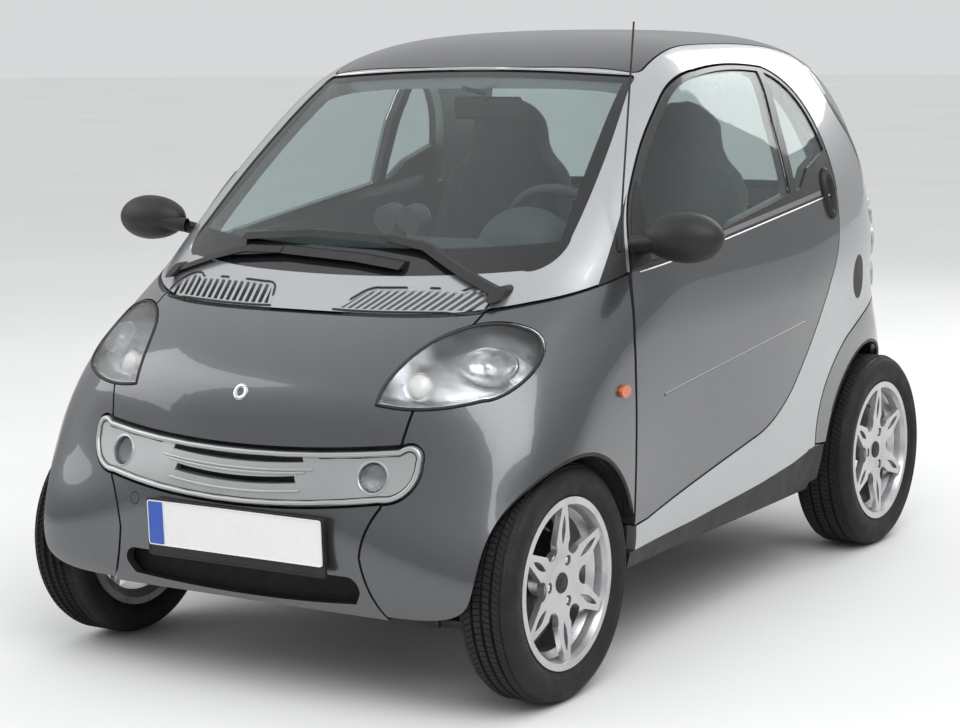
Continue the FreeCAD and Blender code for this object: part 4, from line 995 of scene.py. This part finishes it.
def seat_pad(name, node, swell, seam):
    """Cushion from the seat's plain form: rounded, blown up under its cloth, with sewn channels."""
    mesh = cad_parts[node].data.copy()
    bm = bmesh.new()
    bm.from_mesh(mesh)
    bmesh.ops.remove_doubles(bm, verts=bm.verts, dist=1e-5)
    bm.to_mesh(mesh)
    bm.free()
    pad = bpy.data.objects.new(name, mesh)
    scene.collection.objects.link(pad)
    remesh = pad.modifiers.new("even", "REMESH")
    remesh.mode = "VOXEL"
    remesh.voxel_size = PAD_VOXEL
    even = evaluated_mesh(pad)
    bpy.data.objects.remove(pad)
    bm = bmesh.new()
    bm.from_mesh(even)
    for _ in range(10):
        bmesh.ops.smooth_vert(bm, verts=bm.verts, factor=0.5, use_axis_x=True, use_axis_y=True,
                              use_axis_z=True)
    bm.to_mesh(even)
    bm.free()
    before = [v.co.copy() for v in even.vertices]
    pad = bpy.data.objects.new(name, even)
    scene.collection.objects.link(pad)
    cloth = pad.modifiers.new("cloth", "CLOTH")
    cloth.settings.use_pressure = True
    cloth.settings.uniform_pressure_force = PAD_PRESSURE
    cloth.settings.effector_weights.gravity = 0
    cloth.settings.quality = 4
    for number in range(1, PAD_FRAMES + 1):
        scene.frame_set(number)
    swollen = evaluated_mesh(pad)
    bpy.data.objects.remove(pad)
    scene.frame_set(1)
    for v, old in zip(swollen.vertices, before):
        move = v.co - old
        if move.length > swell:
            v.co = old + move * (swell / move.length)
    even = swollen
    low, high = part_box(node)
    middle = (low.x + high.x) / 2
    bm = bmesh.new()
    bm.from_mesh(even)
    for v in bm.verts:
        normal = v.normal
        reach = abs(abs(v.co.x - middle) - seam) / SEAM_HALF_WIDTH
        if reach < 1 and abs(normal.x) < 0.5:
            v.co -= normal * SEAM_DEPTH * (1 - reach) ** 2
        v.co = Vector([min(max(v.co[i], low[i]), high[i]) for i in range(3)])
    bm.to_mesh(even)
    bm.free()
    obj = dress(name, even, CLOTH, "car_body", 0)
    even.shade_smooth()
    smooth = obj.modifiers.new("smooth", "SUBSURF")
    smooth.levels = 1
    smooth.render_levels = 1
    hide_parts(node)


def wheel_boss():
    rows = [(0.0, 0.026), (0.03, 0.025), (0.052, 0.019), (0.064, 0.006), (0.065, -0.03), (0.055, -0.036)]
    form = round_form(rows, WHEEL_AT, COLUMN, 1.25, 1.0)
    piece("wheel_boss", form, CABIN, "steering", 35)


def clocks():
    rows = [(0.0, 0.0008), (0.030, 0.0008), (0.031, 0.003), (0.034, 0.0035), (0.0348, 0.0)]
    for i, x in enumerate(CLOCK_XS):
        form = round_form(rows, Vector((x, CLOCK_Y, CLOCK_Z)), CLOCK_FACING)
        piece("clock_%d" % (i + 1), form, CLOCK, "car_body", 40)


def inner_mirror():
    """Mirror under the roof, with its arm from the windscreen."""
    bm = bmesh.new()
    bmesh.ops.create_cube(bm, size=1, matrix=Matrix.Diagonal(INNER_MIRROR_SIZE))
    bmesh.ops.bevel(bm, geom=bm.edges[:], offset=0.0105, segments=4, affect="EDGES", profile=0.5,
                    material=-1)
    bmesh.ops.transform(bm, matrix=Matrix.Translation(INNER_MIRROR_AT), verts=bm.verts)
    piece("inner_mirror", bm, PLASTIC, "car_body", 40)
    arm = [Vector((0, -0.058, 1.355)), Vector((0, -0.075, 1.385))]
    arm += run_on(from_front, ["windscreen"], [(0, 1.415)], -0.012)
    bead("inner_mirror_arm", arm, 0.006, PLASTIC, "car_body")


for side in ("left", "right"):
    for pad, node, swell, seam in PADS:
        seat_pad(pad + side, node + side, swell, seam)
wheel_boss()
clocks()
inner_mirror()

# Tail: bezels and red lenses of the lamps
TAIL_X = 0.64
TAIL_ZS = (0.985, 0.893, 0.801)


def tail_lamps():
    bezel = [(0.0355, 0.0), (0.0360, 0.0035), (0.0385, 0.0042), (0.0412, 0.0028), (0.0425, -0.002)]
    lens = [(0.0, 0.0052), (0.012, 0.0048), (0.024, 0.0036), (0.033, 0.0016), (0.0362, -0.002)]
    for i, z in enumerate(TAIL_ZS):
        point, normal, _ = from_behind(["tail_lamps"], TAIL_X, z)
        both_sides(piece("tail_bezel_%d_left" % (i + 1), round_form(bezel, point, normal), SILVER_PAINT,
                         "car_body", 40))
        both_sides(piece("tail_lens_%d_left" % (i + 1), round_form(lens, point, normal), RED,
                         "car_body", 60))


tail_lamps()

# Floor, light and background
LIGHT_AIM = Vector((0, 0, 0.5))
# Columns: name, place, size, power
LIGHTS = [
    ("key", (3.5, -3.0, 5.5), 5.0, 260),
    ("fill", (-5.0, -2.5, 3.5), 4.0, 90),
    ("rear", (1.0, 5.5, 4.0), 4.0, 110),
]
FLOOR_DARK = (0.74, 0.74, 0.735)
FLOOR_LIGHT = (0.78, 0.78, 0.775)
SKY_COLOUR = (0.97, 0.985, 1, 1)
SKY_LOW = 0.32
SKY_HIGH = 0.95
BACKDROP = 0.7


def floor():
    bpy.ops.mesh.primitive_plane_add(size=80)
    ground = bpy.context.object
    ground.name = "floor"
    material, nodes, links, shader, coord = new_material("pale_floor")
    tone = spread(nodes, links, noise(nodes, links, coord, 0.6), 0, 1)
    links.new(mix_colour(nodes, links, tone, FLOOR_DARK, FLOOR_LIGHT), shader.inputs["Base Color"])
    shader.inputs["Roughness"].default_value = 0.8
    ground.data.materials.append(material)
    ground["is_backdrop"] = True


def sky():
    """A sky brighter upwards that lights the car, and an even backdrop behind it."""
    world = bpy.data.worlds.new("world")
    scene.world = world
    world.use_nodes = True
    nodes, links = world.node_tree.nodes, world.node_tree.links
    back = nodes["Background"]
    coord = nodes.new("ShaderNodeTexCoord")
    parts = nodes.new("ShaderNodeSeparateXYZ")
    links.new(coord.outputs["Generated"], parts.inputs[0])
    glow = spread(nodes, links, parts.outputs[2], SKY_LOW, SKY_HIGH, -0.05, 0.7)
    path = nodes.new("ShaderNodeLightPath").outputs
    viewed = arithmetic(nodes, links, "MAXIMUM", path["Is Camera Ray"], path["Is Transmission Ray"])
    strength = nodes.new("ShaderNodeMix")
    links.new(viewed, strength.inputs[0])
    links.new(glow, strength.inputs[2])
    strength.inputs[3].default_value = BACKDROP
    links.new(strength.outputs[0], back.inputs["Strength"])
    back.inputs["Color"].default_value = SKY_COLOUR


def lights():
    for name, place, size, power in LIGHTS:
        lamp = bpy.data.lights.new(name, "AREA")
        lamp.size = size
        lamp.energy = power
        obj = bpy.data.objects.new(name, lamp)
        obj.location = place
        obj.rotation_euler = (LIGHT_AIM - Vector(place)).to_track_quat("-Z", "Y").to_euler()
        scene.collection.objects.link(obj)


floor()
sky()
lights()
scene.view_settings.view_transform = "Standard"

low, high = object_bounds()
